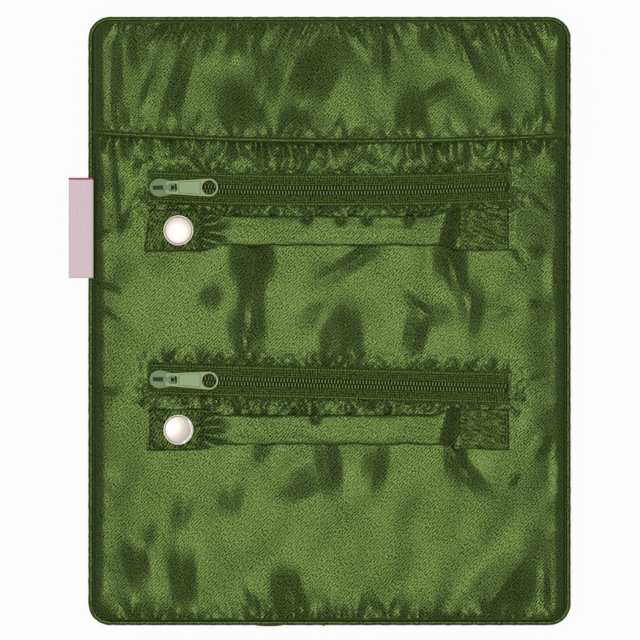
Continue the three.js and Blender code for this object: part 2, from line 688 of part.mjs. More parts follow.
// Ring bar: a stuffed satin tube, flat at its snap tab and its root, with its sewn-down end
function ringBar(name, snapName, y) {
  const group = new THREE.Group();
  group.position.set(0, y, 0);
  const postHole = disc(CAP_POST_RADIUS + SNAP_PLAY, TAB_LOW_Z - CUT_MARGIN, TAB_TOP_Z + CUT_MARGIN, 12);
  const quarter = BAR_TAPER / 4;
  const tube = barLoft(BAR_TAB_END_X, BAR_ROOT_X, 0);
  const bore = barLoft(BAR_TAB_ROOT_X + quarter, BAR_ROOT_X + CUT_MARGIN, BAR_SKIN);
  const core = barLoft(BAR_TAB_ROOT_X + 2 * quarter, BAR_ROOT_X - 2 * quarter, BAR_SKIN + CLEARANCE);
  group.add(piece(`${name}_cover`, cut(tube, bore, postHole.translate(SNAP_X, 0, 0)), satin));
  group.add(piece(`${name}_filling`, core, fill));
  group.add(piece(`${name}_anchor`, barAnchor(), satin));
  group.add(snap(snapName));
  return group;
}

function barSection(x, inset) {
  const fromTab = smoothstep(x, BAR_TAB_ROOT_X, BAR_TAB_ROOT_X + BAR_TAPER);
  const fromRoot = smoothstep(BAR_ROOT_X - x, 0, BAR_TAPER);
  const puff = fromTab * fromRoot;
  const atTab = x < (BAR_TAB_ROOT_X + BAR_ROOT_X) / 2;
  const flatLow = atTab ? TAB_LOW_Z : BAR_UNDERSIDE_Z;
  const flatHigh = flatLow + (atTab ? BAR_TAB_THICKNESS : BAR_ROOT_THICKNESS);
  return {
    halfWidth: lerp(BAR_FLAT_HALF_WIDTH, BAR_HALF_WIDTH, puff) - inset,
    low: lerp(flatLow, BAR_UNDERSIDE_Z, puff) + inset,
    high: lerp(flatHigh, BAR_UNDERSIDE_Z + BAR_HEIGHT, puff) - inset,
    squareness: lerp(8, 2.6, puff),
  };
}

function barLoft(startX, endX, inset) {
  const sides = 16;
  const shares = [0, 0.25, 0.5, 0.75, 1];
  const nearTab = shares.map((share) => BAR_TAB_ROOT_X + share * BAR_TAPER);
  const nearRoot = shares.map((share) => BAR_ROOT_X - share * BAR_TAPER).reverse();
  const between = [...nearTab, ...nearRoot].filter((x) => x > startX && x < endX);
  return loft([startX, ...between, endX].map((x) => {
    const { halfWidth, low, high, squareness } = barSection(x, inset);
    return Array.from({ length: sides }, (_, i) => {
      const turn = (2 * Math.PI * (i + 0.5)) / sides;
      const [c, s] = [Math.cos(turn), Math.sin(turn)];
      const y = halfWidth * Math.sign(c) * Math.abs(c) ** (2 / squareness);
      const rise = (high - low) * 0.5 * Math.sign(s) * Math.abs(s) ** (2 / squareness);
      return new THREE.Vector3(x, y, (low + high) / 2 + rise);
    });
  }));
}

function barAnchor() {
  const start = ANCHOR_START_X;
  const low = PANEL_THICKNESS + SNAP_SEAT;
  const side = outline([
    [start, low],
    [start + ANCHOR_LENGTH, low],
    [start + ANCHOR_LENGTH, low + ANCHOR_THICKNESS],
    [start + ANCHOR_TONGUE, low + ANCHOR_THICKNESS],
    [start, low + ANCHOR_TONGUE_THICKNESS],
  ]);
  return crossPrism(side, -BAR_FLAT_HALF_WIDTH, BAR_FLAT_HALF_WIDTH);
}

// Snap fastener: cap and socket on the tab, stud and eyelet on the lining
function snap(name) {
  const group = new THREE.Group();
  group.position.set(SNAP_X, 0, 0);
  group.add(piece(`${name}_cap`, turned(capProfile(), 24), nickel));
  group.add(piece(`${name}_socket`, turned(socketProfile(), 18), nickel));
  group.add(piece(`${name}_stud`, turned(studProfile(), 18), nickel));
  group.add(piece(`${name}_eyelet`, turned(eyeletProfile(), 16), nickel));
  return group;
}

function capProfile() {
  const steps = 5;
  const seat = TAB_TOP_Z + SNAP_SEAT;
  const postLow = SOCKET_TOP_Z - SOCKET_WEB / 2;
  const dome = Array.from({ length: steps }, (_, k) => {
    const turn = (k / steps) * (Math.PI / 2);
    return [CAP_RADIUS * Math.cos(turn), seat + CAP_RIM + CAP_DOME * Math.sin(turn)];
  });
  return [[0, postLow], [CAP_POST_RADIUS, postLow], [CAP_POST_RADIUS, seat], [CAP_RADIUS, seat],
    ...dome, [0, seat + CAP_RIM + CAP_DOME]];
}

function socketProfile() {
  const bore = STUD_HEAD_RADIUS + SNAP_PLAY;
  const postBore = CAP_POST_RADIUS + SNAP_PLAY;
  return [[bore, SOCKET_LOW_Z], [SOCKET_RADIUS - SOCKET_CHAMFER, SOCKET_LOW_Z],
    [SOCKET_RADIUS, SOCKET_LOW_Z + SOCKET_CHAMFER], [SOCKET_RADIUS, SOCKET_TOP_Z], [postBore, SOCKET_TOP_Z],
    [postBore, SOCKET_WEB_Z], [bore, SOCKET_WEB_Z], [bore, SOCKET_LOW_Z]];
}

function studProfile() {
  const bore = EYELET_BARREL_RADIUS + CLEARANCE;
  const flangeTop = STUD_LOW_Z + STUD_FLANGE;
  const headZ = (flangeTop + STUD_TOP_Z) / 2;
  const boreTop = STUD_TOP_Z - STUD_FLANGE;
  return [[0, boreTop], [bore, boreTop], [bore, STUD_LOW_Z], [STUD_FLANGE_RADIUS, STUD_LOW_Z],
    [STUD_FLANGE_RADIUS, flangeTop], [STUD_HEAD_RADIUS - STUD_NECK, flangeTop], [STUD_HEAD_RADIUS, headZ],
    [STUD_HEAD_RADIUS - STUD_NECK, STUD_TOP_Z], [0, STUD_TOP_Z]];
}

function eyeletProfile() {
  const flangeTop = TAPE_UNDERSIDE_Z + EYELET_FLANGE;
  const barrelTop = STUD_TOP_Z - STUD_FLANGE - CLEARANCE;
  return [[0, TAPE_UNDERSIDE_Z], [EYELET_FLANGE_RADIUS, TAPE_UNDERSIDE_Z], [EYELET_FLANGE_RADIUS, flangeTop],
    [EYELET_BARREL_RADIUS, flangeTop], [EYELET_BARREL_RADIUS, barrelTop], [0, barrelTop]];
}

// The whole roll
const roll = new THREE.Group();
roll.name = 'jewelry_roll';
roll.add(endSection(pocketSection));
roll.add(slipPocket());
roll.add(middleSection(upperSection, ZIP_1_Y, 0, BAR_1_Y));
roll.add(zip('zip_1', ZIP_1_Y, 0));
roll.add(ringBar('ring_bar_1', 'snap_1', BAR_1_Y));
roll.add(piece('label', label(), labelCloth));
roll.add(middleSection(lowerSection, ZIP_2_Y, ZIP_2_TILT, BAR_2_Y));
roll.add(zip('zip_2', ZIP_2_Y, ZIP_2_TILT));
roll.add(ringBar('ring_bar_2', 'snap_2', BAR_2_Y));
roll.add(endSection(flapSection));

export default roll;
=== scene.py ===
"""Looks of the jewelry roll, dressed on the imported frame. Lengths are in millimetres until a mesh is made."""

import math

import bpy
import numpy as np
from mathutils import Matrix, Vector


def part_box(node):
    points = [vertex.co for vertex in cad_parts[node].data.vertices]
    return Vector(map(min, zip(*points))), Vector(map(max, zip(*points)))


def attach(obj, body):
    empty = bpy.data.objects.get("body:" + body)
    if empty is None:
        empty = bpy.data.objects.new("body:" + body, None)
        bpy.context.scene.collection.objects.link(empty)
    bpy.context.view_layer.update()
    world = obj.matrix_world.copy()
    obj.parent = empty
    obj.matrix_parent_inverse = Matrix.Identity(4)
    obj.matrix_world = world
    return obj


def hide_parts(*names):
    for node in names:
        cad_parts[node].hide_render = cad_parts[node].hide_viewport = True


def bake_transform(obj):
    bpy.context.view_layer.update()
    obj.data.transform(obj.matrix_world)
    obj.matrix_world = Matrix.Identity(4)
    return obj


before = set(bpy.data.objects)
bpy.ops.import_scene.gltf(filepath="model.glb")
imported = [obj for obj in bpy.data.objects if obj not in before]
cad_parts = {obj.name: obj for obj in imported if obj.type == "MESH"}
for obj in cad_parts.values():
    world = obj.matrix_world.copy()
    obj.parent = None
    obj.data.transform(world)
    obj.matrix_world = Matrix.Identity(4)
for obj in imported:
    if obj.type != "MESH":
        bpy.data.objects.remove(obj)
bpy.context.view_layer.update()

MM = 0.001

# Panel
HALF_WIDTH = 99.5
HALF_LENGTH = 125.5
CORNER = 9.0
PIPING_RADIUS = 1.1
PIPING_Z = 2.6
SEAM_X = HALF_WIDTH - 2 * PIPING_RADIUS + 0.1
SEAM_Y = HALF_LENGTH - 2 * PIPING_RADIUS + 0.1
SEAM_CORNER = CORNER - 2 * PIPING_RADIUS
SEAM_Z = 2.7
LINING_Z = 6.0
CLOTH_THICKNESS = 0.4
COLUMN, ROW = 0.6, 0.9
COVER_GRID = (2.5, 1.0)
WADDING_GRID = (4.0, 2.0)
SIDE_REACH = 5.0
END_REACH = 1.0
FOLD_SHARE = 0.86
CREST_ANGLE = 7
PUCKER_FADE = 0.45
SEAM_FADE = 1.1
LEAST_Z = 3.6
BAR_REST = 5.9
SIDE_DROP = 0.8
MOUTH_SWELL = 1.4
WINDOW_DIP = 0.45
LABEL_THICKNESS = 0.25
LABEL_WAVE = (0.5, 13)

# Slip pocket
MOUTH_Y = 74.7
MOUTH_SAG = 2.9
MOUTH_TILT = -0.6
MOUTH_RISE = 3.2

# Zips and ring bars
ZIP_Y = (54.8, -25.8)
ZIP_TILT = (0.0, math.radians(-1.5))
ZIP_END = (0.5, 0.0)
ZIP_SAG = (-1.6, 0.0)
WINDOW = (73.8, 6.2)
TAPE_TOP = 5.1
BAR_Y = (37.2, -44.6)
TAB_END = -73.8
SNAP_X = -62.0
SECTION = ("upper_section", "lower_section")


# Soft creases seen in the satin: x, y, half width, half length, lean and tilt in degrees
POCKET_FOLDS = [
    (-5.4, 101.2, 9.5, 11.5, 62, 17),
    (-24.5, 100.0, 6.5, 12.0, 72, 11),
    (-36.4, 85.8, 9.5, 9.5, 100, 17),
    (-14.5, 80.0, 7.0, 5.5, 90, 16),
    (33.2, 83.2, 6.5, 8.2, 92, 17),
    (43.0, 92.5, 3.6, 8.0, 33, 13),
    (21.0, 110.3, 4.2, 11.0, 90, 15),
    (39.0, 116.7, 3.2, 8.0, 105, 16),
    (56.4, 109.0, 4.6, 10.5, 112, 12),
    (70.6, 114.0, 2.2, 8.0, 105, 13),
    (86.0, 90.0, 2.4, 8.0, 90, 12),
    (87.4, 83.2, 3.2, 4.2, 90, 16),
    (70.6, 81.9, 4.0, 4.2, 90, 15),
    (80.9, 80.6, 2.2, 3.0, 90, 15),
    (48.0, 79.6, 1.6, 4.0, 85, 12),
    (-62.1, 97.4, 4.2, 17.0, 74, 16),
    (-73.7, 96.0, 3.0, 8.5, 70, 11),
    (-87.3, 102.0, 2.5, 21.0, 90, 16),
    (-78.9, 111.5, 4.6, 8.0, 100, 14),
    (-84.7, 81.9, 3.0, 3.6, 90, 16),
    (-69.9, 118.0, 2.4, 6.5, 47, 14),
    (-49.2, 114.0, 2.6, 6.5, 75, 13),
    (-37.6, 112.8, 5.0, 5.5, 66, 12),
    (-30.0, 110.0, 2.6, 8.5, 100, 14),
    (-10.6, 119.0, 2.2, 5.0, 70, 13),
    (-20.9, 118.6, 2.2, 5.2, 66, 13),
    (-44.0, 120.6, 2.2, 4.0, 62, 13),
    (31.5, 121.0, 2.0, 4.0, 90, 13),
    (61.2, 118.4, 2.0, 4.5, 60, 13),
    (82.7, 116.7, 2.6, 9.5, 118, 14),
    (4.3, 81.2, 2.0, 3.2, 70, 10),
    (-53.4, 82.1, 2.0, 3.2, 80, 10),
]
LINING_FOLDS = [
    (-86.4, 54.0, 2.4, 9.1, 95, 15),
    (-83.5, 40.8, 3.0, 4.0, 70, 15),
    (-92.2, 35.9, 2.1, 2.5, 0, 12),
    (-79.0, 64.7, 1.8, 4.1, 80, 12),
    (85.2, 48.3, 2.0, 5.0, -42, 15),
    (74.8, 28.3, 2.5, 5.0, -60, 11),
    (84.3, 28.3, 3.0, 2.6, 0, 14),
    (-31.9, 25.8, 9.5, 8.5, 92, 17),
    (-31.9, 11.5, 5.5, 10.0, 87, 14),
    (-34.4, -3.5, 8.0, 9.0, 92, 11),
    (-35.6, -11.4, 3.5, 4.0, 90, 13),
    (9.8, 24.6, 4.0, 10.0, 33, 12),
    (48.9, 25.8, 7.5, 8.5, 95, 17),
    (53.0, 16.0, 4.2, 8.0, 108, 14),
    (57.8, 4.4, 5.5, 10.0, 85, 11),
    (35.0, 6.9, 2.5, 6.0, -40, 12),
    (4.7, -5.7, 9.0, 10.0, 92, 15),
    (35.0, -5.7, 5.2, 8.5, 78, 15),
    (-6.0, 3.0, 5.0, 6.0, 60, 9),
    (-70.0, 22.0, 9.0, 8.0, 50, 6),
    (44.0, 2.5, 5.0, 6.0, 10, 8),
    (-4.0, 17.0, 8.0, 7.0, 30, 6),
    (-48.9, 10.0, 4.5, 4.2, 70, 11),
    (83.7, 6.9, 2.2, 2.2, 0, 16),
    (71.7, 3.7, 3.0, 5.0, 20, 8),
    (92.0, 20.0, 4.0, 8.0, 90, 10),
    (-89.9, 13.8, 1.6, 5.0, -20, 16),
    (-91.0, 4.4, 2.0, 5.0, -30, 13),
    (-93.4, -26.4, 2.4, 4.0, -20, 11),
    (-89.7, -29.3, 2.0, 5.0, 10, 11),
    (84.7, -22.3, 2.0, 4.5, 15, 10),
    (-17.9, -111.6, 6.6, 9.0, 95, 20),
    (-60.3, -106.6, 5.6, 9.5, 95, 17),
    (-79.2, -100.0, 5.2, 7.0, 105, 15),
    (68.0, -113.0, 11.5, 12.5, 52, 15),
    (88.2, -110.9, 2.8, 8.0, 92, 14),
    (-0.3, -60.4, 5.2, 11.0, 98, 15),
    (-11.5, -66.5, 6.5, 8.0, 25, 12),
    (18.6, -59.2, 5.5, 8.0, 82, 12),
    (51.5, -57.0, 5.0, 8.0, 95, 17),
    (58.5, -64.5, 4.0, 7.0, -48, 15),
    (75.4, -64.9, 2.6, 2.6, 60, 12),
    (86.8, -51.6, 4.0, 4.0, 60, 15),
    (94.4, -61.7, 4.0, 8.0, 90, 11),
    (-40.7, -73.0, 5.0, 5.0, 80, 8),
    (-28.0, -52.9, 4.0, 4.0, 60, 11),
    (-60.9, -79.4, 4.0, 6.5, 80, 8),
    (-74.8, -87.0, 4.0, 5.0, 80, 9),
    (-30.7, -116.7, 2.4, 7.0, 112, 14),
    (20.0, -117.5, 2.2, 7.5, -58, 14),
    (26.6, -118.4, 2.0, 7.0, 72, 14),
    (6.4, -120.0, 2.2, 4.0, 100, 14),
]


# Small tucks of the lining that show above each ring bar, along X
TUCKS = (
    (-51.3, -43.9, -38.1, -34.0, -23.4, 32.8),
    (-50.5, -38.1, -32.0, -26.6, -14.6, -10.5, -6.0, 8.5, 24.1),
)
LINING_FOLDS += [(x, BAR_Y[k] + 7.8, 1.7, 2.2, 90, 22) for k in range(2) for x in TUCKS[k]]

# Gathers along the seams: spacing, reach, height and width, the least and the most of each
GATHERS = {
    "bottom": ((3.5, 10), (6, 20), (0.5, 1.05), (1.0, 2.0)),
    "side": ((8, 20), (5, 12), (0.2, 0.5), (1.3, 2.2)),
    "top": ((2.5, 7), (7, 20), (0.45, 0.95), (0.8, 1.6)),
    "above_mouth": ((3, 8), (4, 10), (0.4, 0.9), (0.9, 1.5)),
    "below_mouth": ((2.2, 4.6), (8, 16), (1.0, 1.8), (0.8, 1.3)),
    "above_zip": ((4, 9), (4, 11), (0.6, 1.1), (1.1, 1.9)),
    "below_zip": ((4, 9), (4, 7), (0.5, 0.9), (1.1, 1.7)),
}

# Long low waves of the satin
SWELL = dict(count=14, length=(16, 44), spread=0.9)
SWELL_HEIGHT = 0.17

# Rows of stitches: pitch, length of a stitch, radius of its thread
SEAM_STITCH = (2.0, 1.5, 0.16)
WINDOW_STITCH = (1.6, 1.2, 0.16)
WINDOW_DOT = (1.3, 0.42, 0.3)
TAB_STITCH = (1.7, 1.3, 0.17)
END_STITCH = (1.7, 1.2, 0.17)


# Meshes


def make(name, points, faces, material, uv=None, normals=None):
    """A smooth mesh object from points in millimetres; normals are given for each corner of each face."""
    mesh = bpy.data.meshes.new(name)
    mesh.from_pydata((np.asarray(points, float) * MM).tolist(), [], [tuple(map(int, f)) for f in faces])
    mesh.materials.append(material)
    mesh.shade_smooth()
    if uv is not None:
        layer = mesh.uv_layers.new(name="cloth")
        index = np.zeros(len(mesh.loops), np.int32)
        mesh.loops.foreach_get("vertex_index", index)
        layer.data.foreach_set("uv", np.asarray(uv, np.float32)[index].ravel())
    if normals is not None:
        mesh.normals_split_custom_set(np.asarray(normals, float).tolist())
    obj = bpy.data.objects.new(name, mesh)
    bpy.context.scene.collection.objects.link(obj)
    return obj


def grid_faces(columns, rows, closed=False):
    """Quads over a grid of rows of points; closed joins each row's ends."""
    last = columns if closed else columns - 1
    i, j = np.meshgrid(np.arange(last), np.arange(rows - 1))
    a = (j * columns + i).ravel()
    b = (j * columns + (i + 1) % columns).ravel()
    return np.stack([a, b, b + columns, a + columns], axis=1)


def point_normals(points, faces):
    p = np.asarray(points, float)
    across = np.cross(p[faces[:, 2]] - p[faces[:, 0]], p[faces[:, 3]] - p[faces[:, 1]])
    total = np.zeros_like(p)
    for k in range(4):
        np.add.at(total, faces[:, k], across)
    return total / np.maximum(np.linalg.norm(total, axis=1, keepdims=True), 1e-12)


def rim_edges(faces):
    """Directed edges that only one face uses."""
    edges = np.concatenate([faces[:, [k, (k + 1) % 4]] for k in range(4)])
    seen = {(a, b) for a, b in edges.tolist()}
    return np.array([(a, b) for a, b in edges.tolist() if (b, a) not in seen])


def keep_used(points, faces, *others):
    """Drops the points that no face uses."""
    used = np.unique(faces)
    new = np.full(len(points), -1)
    new[used] = np.arange(len(used))
    return (points[used], new[faces], *[o[used] for o in others])


def joined(*parts):
    """Rows of coordinates from arrays of one shape."""
    return np.stack([np.ravel(part) for part in parts], axis=1)


def run_along(path):
    """How far along a path each of its points is."""
    return np.concatenate([[0], np.cumsum(np.linalg.norm(np.diff(path, axis=0), axis=1))])


def rim_walls(faces, n):
    """Faces from a sheet's rim down to that of its underside, whose points come n later."""
    rim = rim_edges(faces)
    return np.stack([rim[:, 1], rim[:, 0], rim[:, 0] + n, rim[:, 1] + n], axis=1)


def shell(name, points, faces, thickness, material, uv=None, lift=None, corners=None):
    """A sheet with a thickness, from its upper face; lift and corners are normals of its points and faces."""
    points = np.asarray(points, float)
    n = len(points)
    lift = point_normals(points, faces) if lift is None else lift
    both = np.concatenate([points, points - thickness * lift])
    walls = rim_walls(faces, n)
    all_faces = np.concatenate([faces, faces[:, ::-1] + n, walls])
    both_uv = None if uv is None else np.concatenate([uv, uv])
    normals = None
    if corners is not None:
        wall_normals = np.concatenate([lift, -lift])[walls]
        normals = np.concatenate([corners, -corners[:, ::-1], wall_normals]).reshape(-1, 3)
    return make(name, both, all_faces, material, both_uv, normals)


def tube(name, path, radius, sides, material):
    """A round cord along a path, with texture coordinates along and around it."""
    points, faces, uv = tube_parts(path, radius, sides)
    return make(name, points, faces, material, uv)


def tube_parts(path, radius, sides):
    path = np.asarray(path, float)
    radius = np.broadcast_to(np.asarray(radius, float), len(path))
    tangent = np.gradient(path, axis=0)
    tangent /= np.linalg.norm(tangent, axis=1, keepdims=True)
    up = np.where(np.abs(tangent[:, 2:]) > 0.9, [[0.0, 1.0, 0.0]], [[0.0, 0.0, 1.0]])
    side = np.cross(up, tangent)
    side /= np.linalg.norm(side, axis=1, keepdims=True)
    rise = np.cross(tangent, side)
    turn = np.linspace(0, 2 * np.pi, sides, endpoint=False)
    ring = side[:, None] * np.cos(turn)[None, :, None] + rise[:, None] * np.sin(turn)[None, :, None]
    points = (path[:, None] + radius[:, None, None] * ring).reshape(-1, 3)
    quads = grid_faces(sides, len(path), closed=True)
    caps = [list(range(sides))[::-1], list(range((len(path) - 1) * sides, len(path) * sides))]
    uv = joined(np.repeat(run_along(path), sides), np.tile(turn * radius.mean(), len(path)))
    return points, [*quads.tolist(), *caps], uv


def lathe(name, profile, segments, material, centre):
    """A turned piece about Z; the profile runs from the axis, round the outside, back to the axis."""
    profile = np.asarray(profile, float)
    turn = np.linspace(0, 2 * np.pi, segments, endpoint=False)
    points, faces, rows = [], [], []
    for r, z in profile:
        if r < 1e-6:
            rows.append([len(points)])
            points.append((0, 0, z))
        else:
            rows.append(list(range(len(points), len(points) + segments)))
            points.extend((r * math.cos(t), r * math.sin(t), z) for t in turn)
    for low, high in zip(rows, rows[1:]):
        for k in range(segments):
            n = (k + 1) % segments
            ring = [low[k % len(low)], low[n % len(low)], high[n % len(high)], high[k % len(high)]]
            face = list(dict.fromkeys(ring))
            if len(face) > 2:
                faces.append(face)
    return make(name, np.array(points) + np.array(centre), faces, material)


def spaced(stops, step):
    """Values from stop to stop, no further apart than step."""
    parts = []
    for a, b in zip(stops, stops[1:]):
        count = max(2, math.ceil(abs(b - a) / step) + 1)
        parts.append(np.linspace(a, b, count)[:-1])
    return np.concatenate([*parts, [stops[-1]]])


def smooth(t):
    t = np.clip(t, 0, 1)
    return t * t * (3 - 2 * t)


def bend(obj):
    """Bakes the piece's placement into its mesh."""
    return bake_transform(obj)


# Cloth shapes


def rounded(x, y):
    """Draws the corners of a rectangle of points in to the seam's corner arcs."""
    u = np.clip((np.abs(x) - (SEAM_X - SEAM_CORNER)) / SEAM_CORNER, 0, 1)
    v = np.clip((np.abs(y) - (SEAM_Y - SEAM_CORNER)) / SEAM_CORNER, 0, 1)
    inside = np.minimum(u, v) > 0
    rx = np.sign(x) * (SEAM_X - SEAM_CORNER + SEAM_CORNER * u * np.sqrt(1 - v * v / 2))
    ry = np.sign(y) * (SEAM_Y - SEAM_CORNER + SEAM_CORNER * v * np.sqrt(1 - u * u / 2))
    return np.where(inside, rx, x), np.where(inside, ry, y)


def arch(t):
    return np.sqrt(1 - (1 - np.clip(t, 0, 1)) ** 2)


def seam_inset(x, y):
    dx = np.abs(x) - (SEAM_X - SEAM_CORNER)
    dy = np.abs(y) - (SEAM_Y - SEAM_CORNER)
    outside = np.hypot(np.maximum(dx, 0), np.maximum(dy, 0))
    return np.maximum(SEAM_CORNER - outside - np.minimum(np.maximum(dx, dy), 0), 0)


def edge_gap(a, b, half_a, half_b):
    """How far points lie inside one pair of the panel's edges, with the corner arcs taken off."""
    past = np.clip(np.abs(b) - (half_b - SEAM_CORNER), 0, SEAM_CORNER)
    return np.maximum(half_a - SEAM_CORNER + np.sqrt(SEAM_CORNER**2 - past**2) - np.abs(a), 0)


def side_roll(x, y):
    return arch(edge_gap(x, y, SEAM_X, SEAM_Y) / SIDE_REACH)


def end_roll(x, y):
    return arch(edge_gap(y, x, SEAM_Y, SEAM_X) / END_REACH)


def pad_top(x, y):
    """The padded panel, which rolls over softly at its sides and is drawn up tight at its ends."""
    return SEAM_Z + (LINING_Z - SEAM_Z) * side_roll(x, y) * (0.3 + 0.7 * end_roll(x, y))


CREASE_U = np.linspace(0, 2, 201)
CREASE_SLOPE = 1 - smooth((CREASE_U - 0.7) / 0.6)
CREASE_Z = (CREASE_SLOPE.sum() - np.cumsum(CREASE_SLOPE)) * CREASE_U[1]


def tilts(x, y, folds):
    """Soft creases: each stands up along its middle line and leans down to both sides."""
    z = np.zeros_like(x)
    for cx, cy, half_width, half_length, lean, tilt in folds:
        a = math.radians(lean)
        v = ((x - cx) * math.cos(a) + (y - cy) * math.sin(a)) / (1.1 * half_length)
        u = ((y - cy) * math.cos(a) - (x - cx) * math.sin(a)) / half_width
        slope = FOLD_SHARE * math.tan(math.radians(tilt))
        z += slope * half_width * np.interp(np.abs(u), CREASE_U, CREASE_Z) * np.exp(-v * v)
    return z


def puckers(x, y, start, end, seed, spacing, reach, height, width, lean=0.0):
    """Gathers that run inward, to the left of the line from start to end."""
    rng = np.random.default_rng(seed)
    start, end = np.array(start, float), np.array(end, float)
    length = np.linalg.norm(end - start)
    along = (end - start) / length
    s = (x - start[0]) * along[0] + (y - start[1]) * along[1]
    d = (y - start[1]) * along[0] - (x - start[0]) * along[1]
    z = np.zeros_like(x)
    at = rng.uniform(0, spacing[1])
    while at < length:
        deep, tall, wide = rng.uniform(*reach), rng.uniform(*height), rng.uniform(*width)
        slant = rng.normal(lean, 0.14)
        t = np.clip(d / deep, 0, 1)
        fade = np.where(d > 0, (1 - np.exp(-np.maximum(d, 0) / PUCKER_FADE)) * (1 - t) ** 1.4, 0)
        u = (s - at - slant * d) / (wide * (1 + 1.6 * t))
        z += tall * fade * (np.exp(-np.abs(u) ** 1.5) - 0.5 * np.exp(-(((np.abs(u) - 2.0) / 1.1) ** 2)))
        at += rng.uniform(*spacing)
    return z


def ripples(u, v, seed, count, length, lean, spread):
    """Seeded soft waves that mostly run one way; about one unit high."""
    rng = np.random.default_rng(seed)
    z = np.zeros_like(u)
    for _ in range(count):
        a = rng.normal(lean, spread)
        across = u * math.cos(a) + v * math.sin(a)
        z += np.cos(2 * np.pi * across / rng.uniform(*length) + rng.uniform(0, 6.28))
    return z / math.sqrt(count)


def zip_bow(k, x):
    """How far the zip's line strays from straight."""
    return ZIP_END[k] + ZIP_SAG[k] * (1 - (x / WINDOW[0]) ** 2)


def zip_local(k, x, y):
    c, s = math.cos(ZIP_TILT[k]), math.sin(ZIP_TILT[k])
    u = x * c + (y - ZIP_Y[k]) * s
    return u, (y - ZIP_Y[k]) * c - x * s - zip_bow(k, u)


def zip_place(k, points):
    points = np.array(points, float)
    c, s = math.cos(ZIP_TILT[k]), math.sin(ZIP_TILT[k])
    x = points[:, 0].copy()
    y = points[:, 1] + zip_bow(k, x)
    points[:, 0] = x * c - y * s
    points[:, 1] = ZIP_Y[k] + x * s + y * c
    return points


def mouth_y(x):
    return MOUTH_Y + MOUTH_SAG * (x / SEAM_X) ** 2 + MOUTH_TILT * x / SEAM_X


def near_bars(x, y):
    """One under the ring bars and their sewn ends, nothing away from them."""
    w = np.zeros_like(x)
    for bar_y in BAR_Y:
        end = smooth((np.abs(x) - 48) / 4)
        w = np.maximum(w, smooth((6.1 + 2.8 * end - np.abs(y - bar_y)) / 1.4) * smooth((77 - np.abs(x)) / 3))
    return w


def rests_above(z, least, soft):
    """Keeps a height above a least one, bending softly."""
    return least + soft * np.logaddexp(0, (z - least) / soft)


def lining_height(x, y):
    relief = tilts(x, y, LINING_FOLDS)
    relief += SWELL_HEIGHT * ripples(x, y, seed=5, lean=0.4, **SWELL)
    bottom_left, bottom_right = (-SEAM_X, -SEAM_Y), (SEAM_X, -SEAM_Y)
    relief += puckers(x, y, bottom_left, bottom_right, 11, *GATHERS["bottom"])
    relief += puckers(x, y, bottom_right, (SEAM_X, SEAM_Y), 12, *GATHERS["side"])
    relief += puckers(x, y, (-SEAM_X, SEAM_Y), bottom_left, 13, *GATHERS["side"])
    straight = y - mouth_y(x) + MOUTH_Y
    mouth = MOUTH_Y + 1
    relief += puckers(x, straight, (SEAM_X, mouth), (-SEAM_X, mouth), 14, *GATHERS["below_mouth"])
    full = smooth((straight - 60) / 14) * (1 - smooth((straight - 77) / 20))
    z = pad_top(x, y) - SIDE_DROP * smooth((np.abs(x) - 78) / 19) + MOUTH_SWELL * full
    least = np.full_like(x, LEAST_Z)
    left, right, edge = -WINDOW[0], WINDOW[0], WINDOW[1] + 1
    for k in range(2):
        u, v = zip_local(k, x, y)
        ends = smooth((right + 1 - np.abs(u)) / 3)
        upper = puckers(u, v, (left, edge), (right, edge), 20 + k, *GATHERS["above_zip"])
        lower = puckers(u, v, (right, -edge), (left, -edge), 30 + k, *GATHERS["below_zip"])
        relief += (upper + lower) * ends
        d = np.hypot(np.maximum(np.abs(u) - WINDOW[0], 0), np.maximum(np.abs(v) - WINDOW[1], 0))
        relief *= 0.1 + 0.9 * smooth(d / 3)
        below = smooth((1 - v) / 2)
        crinkle = ripples(x, y, seed=35 + k, count=16, length=(2.6, 6), lean=0.3, spread=1.2)
        relief += (0.07 + 0.1 * below) * (1 - smooth((d - 4) / 5)) * crinkle
        z -= WINDOW_DIP * np.exp(-((d / 0.8) ** 2))
        least = np.maximum(least, LEAST_Z + 1.9 * (1 - smooth((d - 5) / 3)))
        over_bag = smooth((78 - np.abs(u)) / 3) * smooth((v + 37) / 3) * smooth((14 - v) / 3)
        least = np.maximum(least, LEAST_Z + 0.7 * over_bag)
    inset = seam_inset(x, y)
    z += relief * smooth(inset / SEAM_FADE)
    z = np.where(inset > 10, rests_above(z, least, 0.25), z)
    over = near_bars(x, y)
    return z - over * rests_above(z - BAR_REST, 0, 0.15)


def front_height(x, y):
    """Slip pocket front: full at its mouth, drawn down to the seam."""
    along = np.clip((y - mouth_y(x)) / (SEAM_Y - mouth_y(x)), 0, 1)
    rise = MOUTH_RISE * (1 - 0.45 * along)
    edge = side_roll(x, y) * end_roll(x, y)
    relief = tilts(x, y, POCKET_FOLDS) + SWELL_HEIGHT * ripples(x, y, seed=6, lean=0.3, **SWELL)
    top_right, top_left = (SEAM_X, SEAM_Y), (-SEAM_X, SEAM_Y)
    relief += puckers(x, y, (0, SEAM_Y), top_left, 15, *GATHERS["top"], 0.35)
    relief += puckers(x, y, top_right, (0, SEAM_Y), 16, *GATHERS["top"], -0.35)
    straight = y - mouth_y(x) + MOUTH_Y
    mouth_left, mouth_right = (-SEAM_X, MOUTH_Y), (SEAM_X, MOUTH_Y)
    relief += puckers(x, straight, mouth_left, mouth_right, 17, *GATHERS["above_mouth"])
    relief *= smooth(seam_inset(x, y) / SEAM_FADE) * (0.6 + 0.4 * smooth((straight - MOUTH_Y) / 9))
    return SEAM_Z + 0.5 + edge * (LINING_Z - SEAM_Z + 0.5 + rise) + relief


# Materials


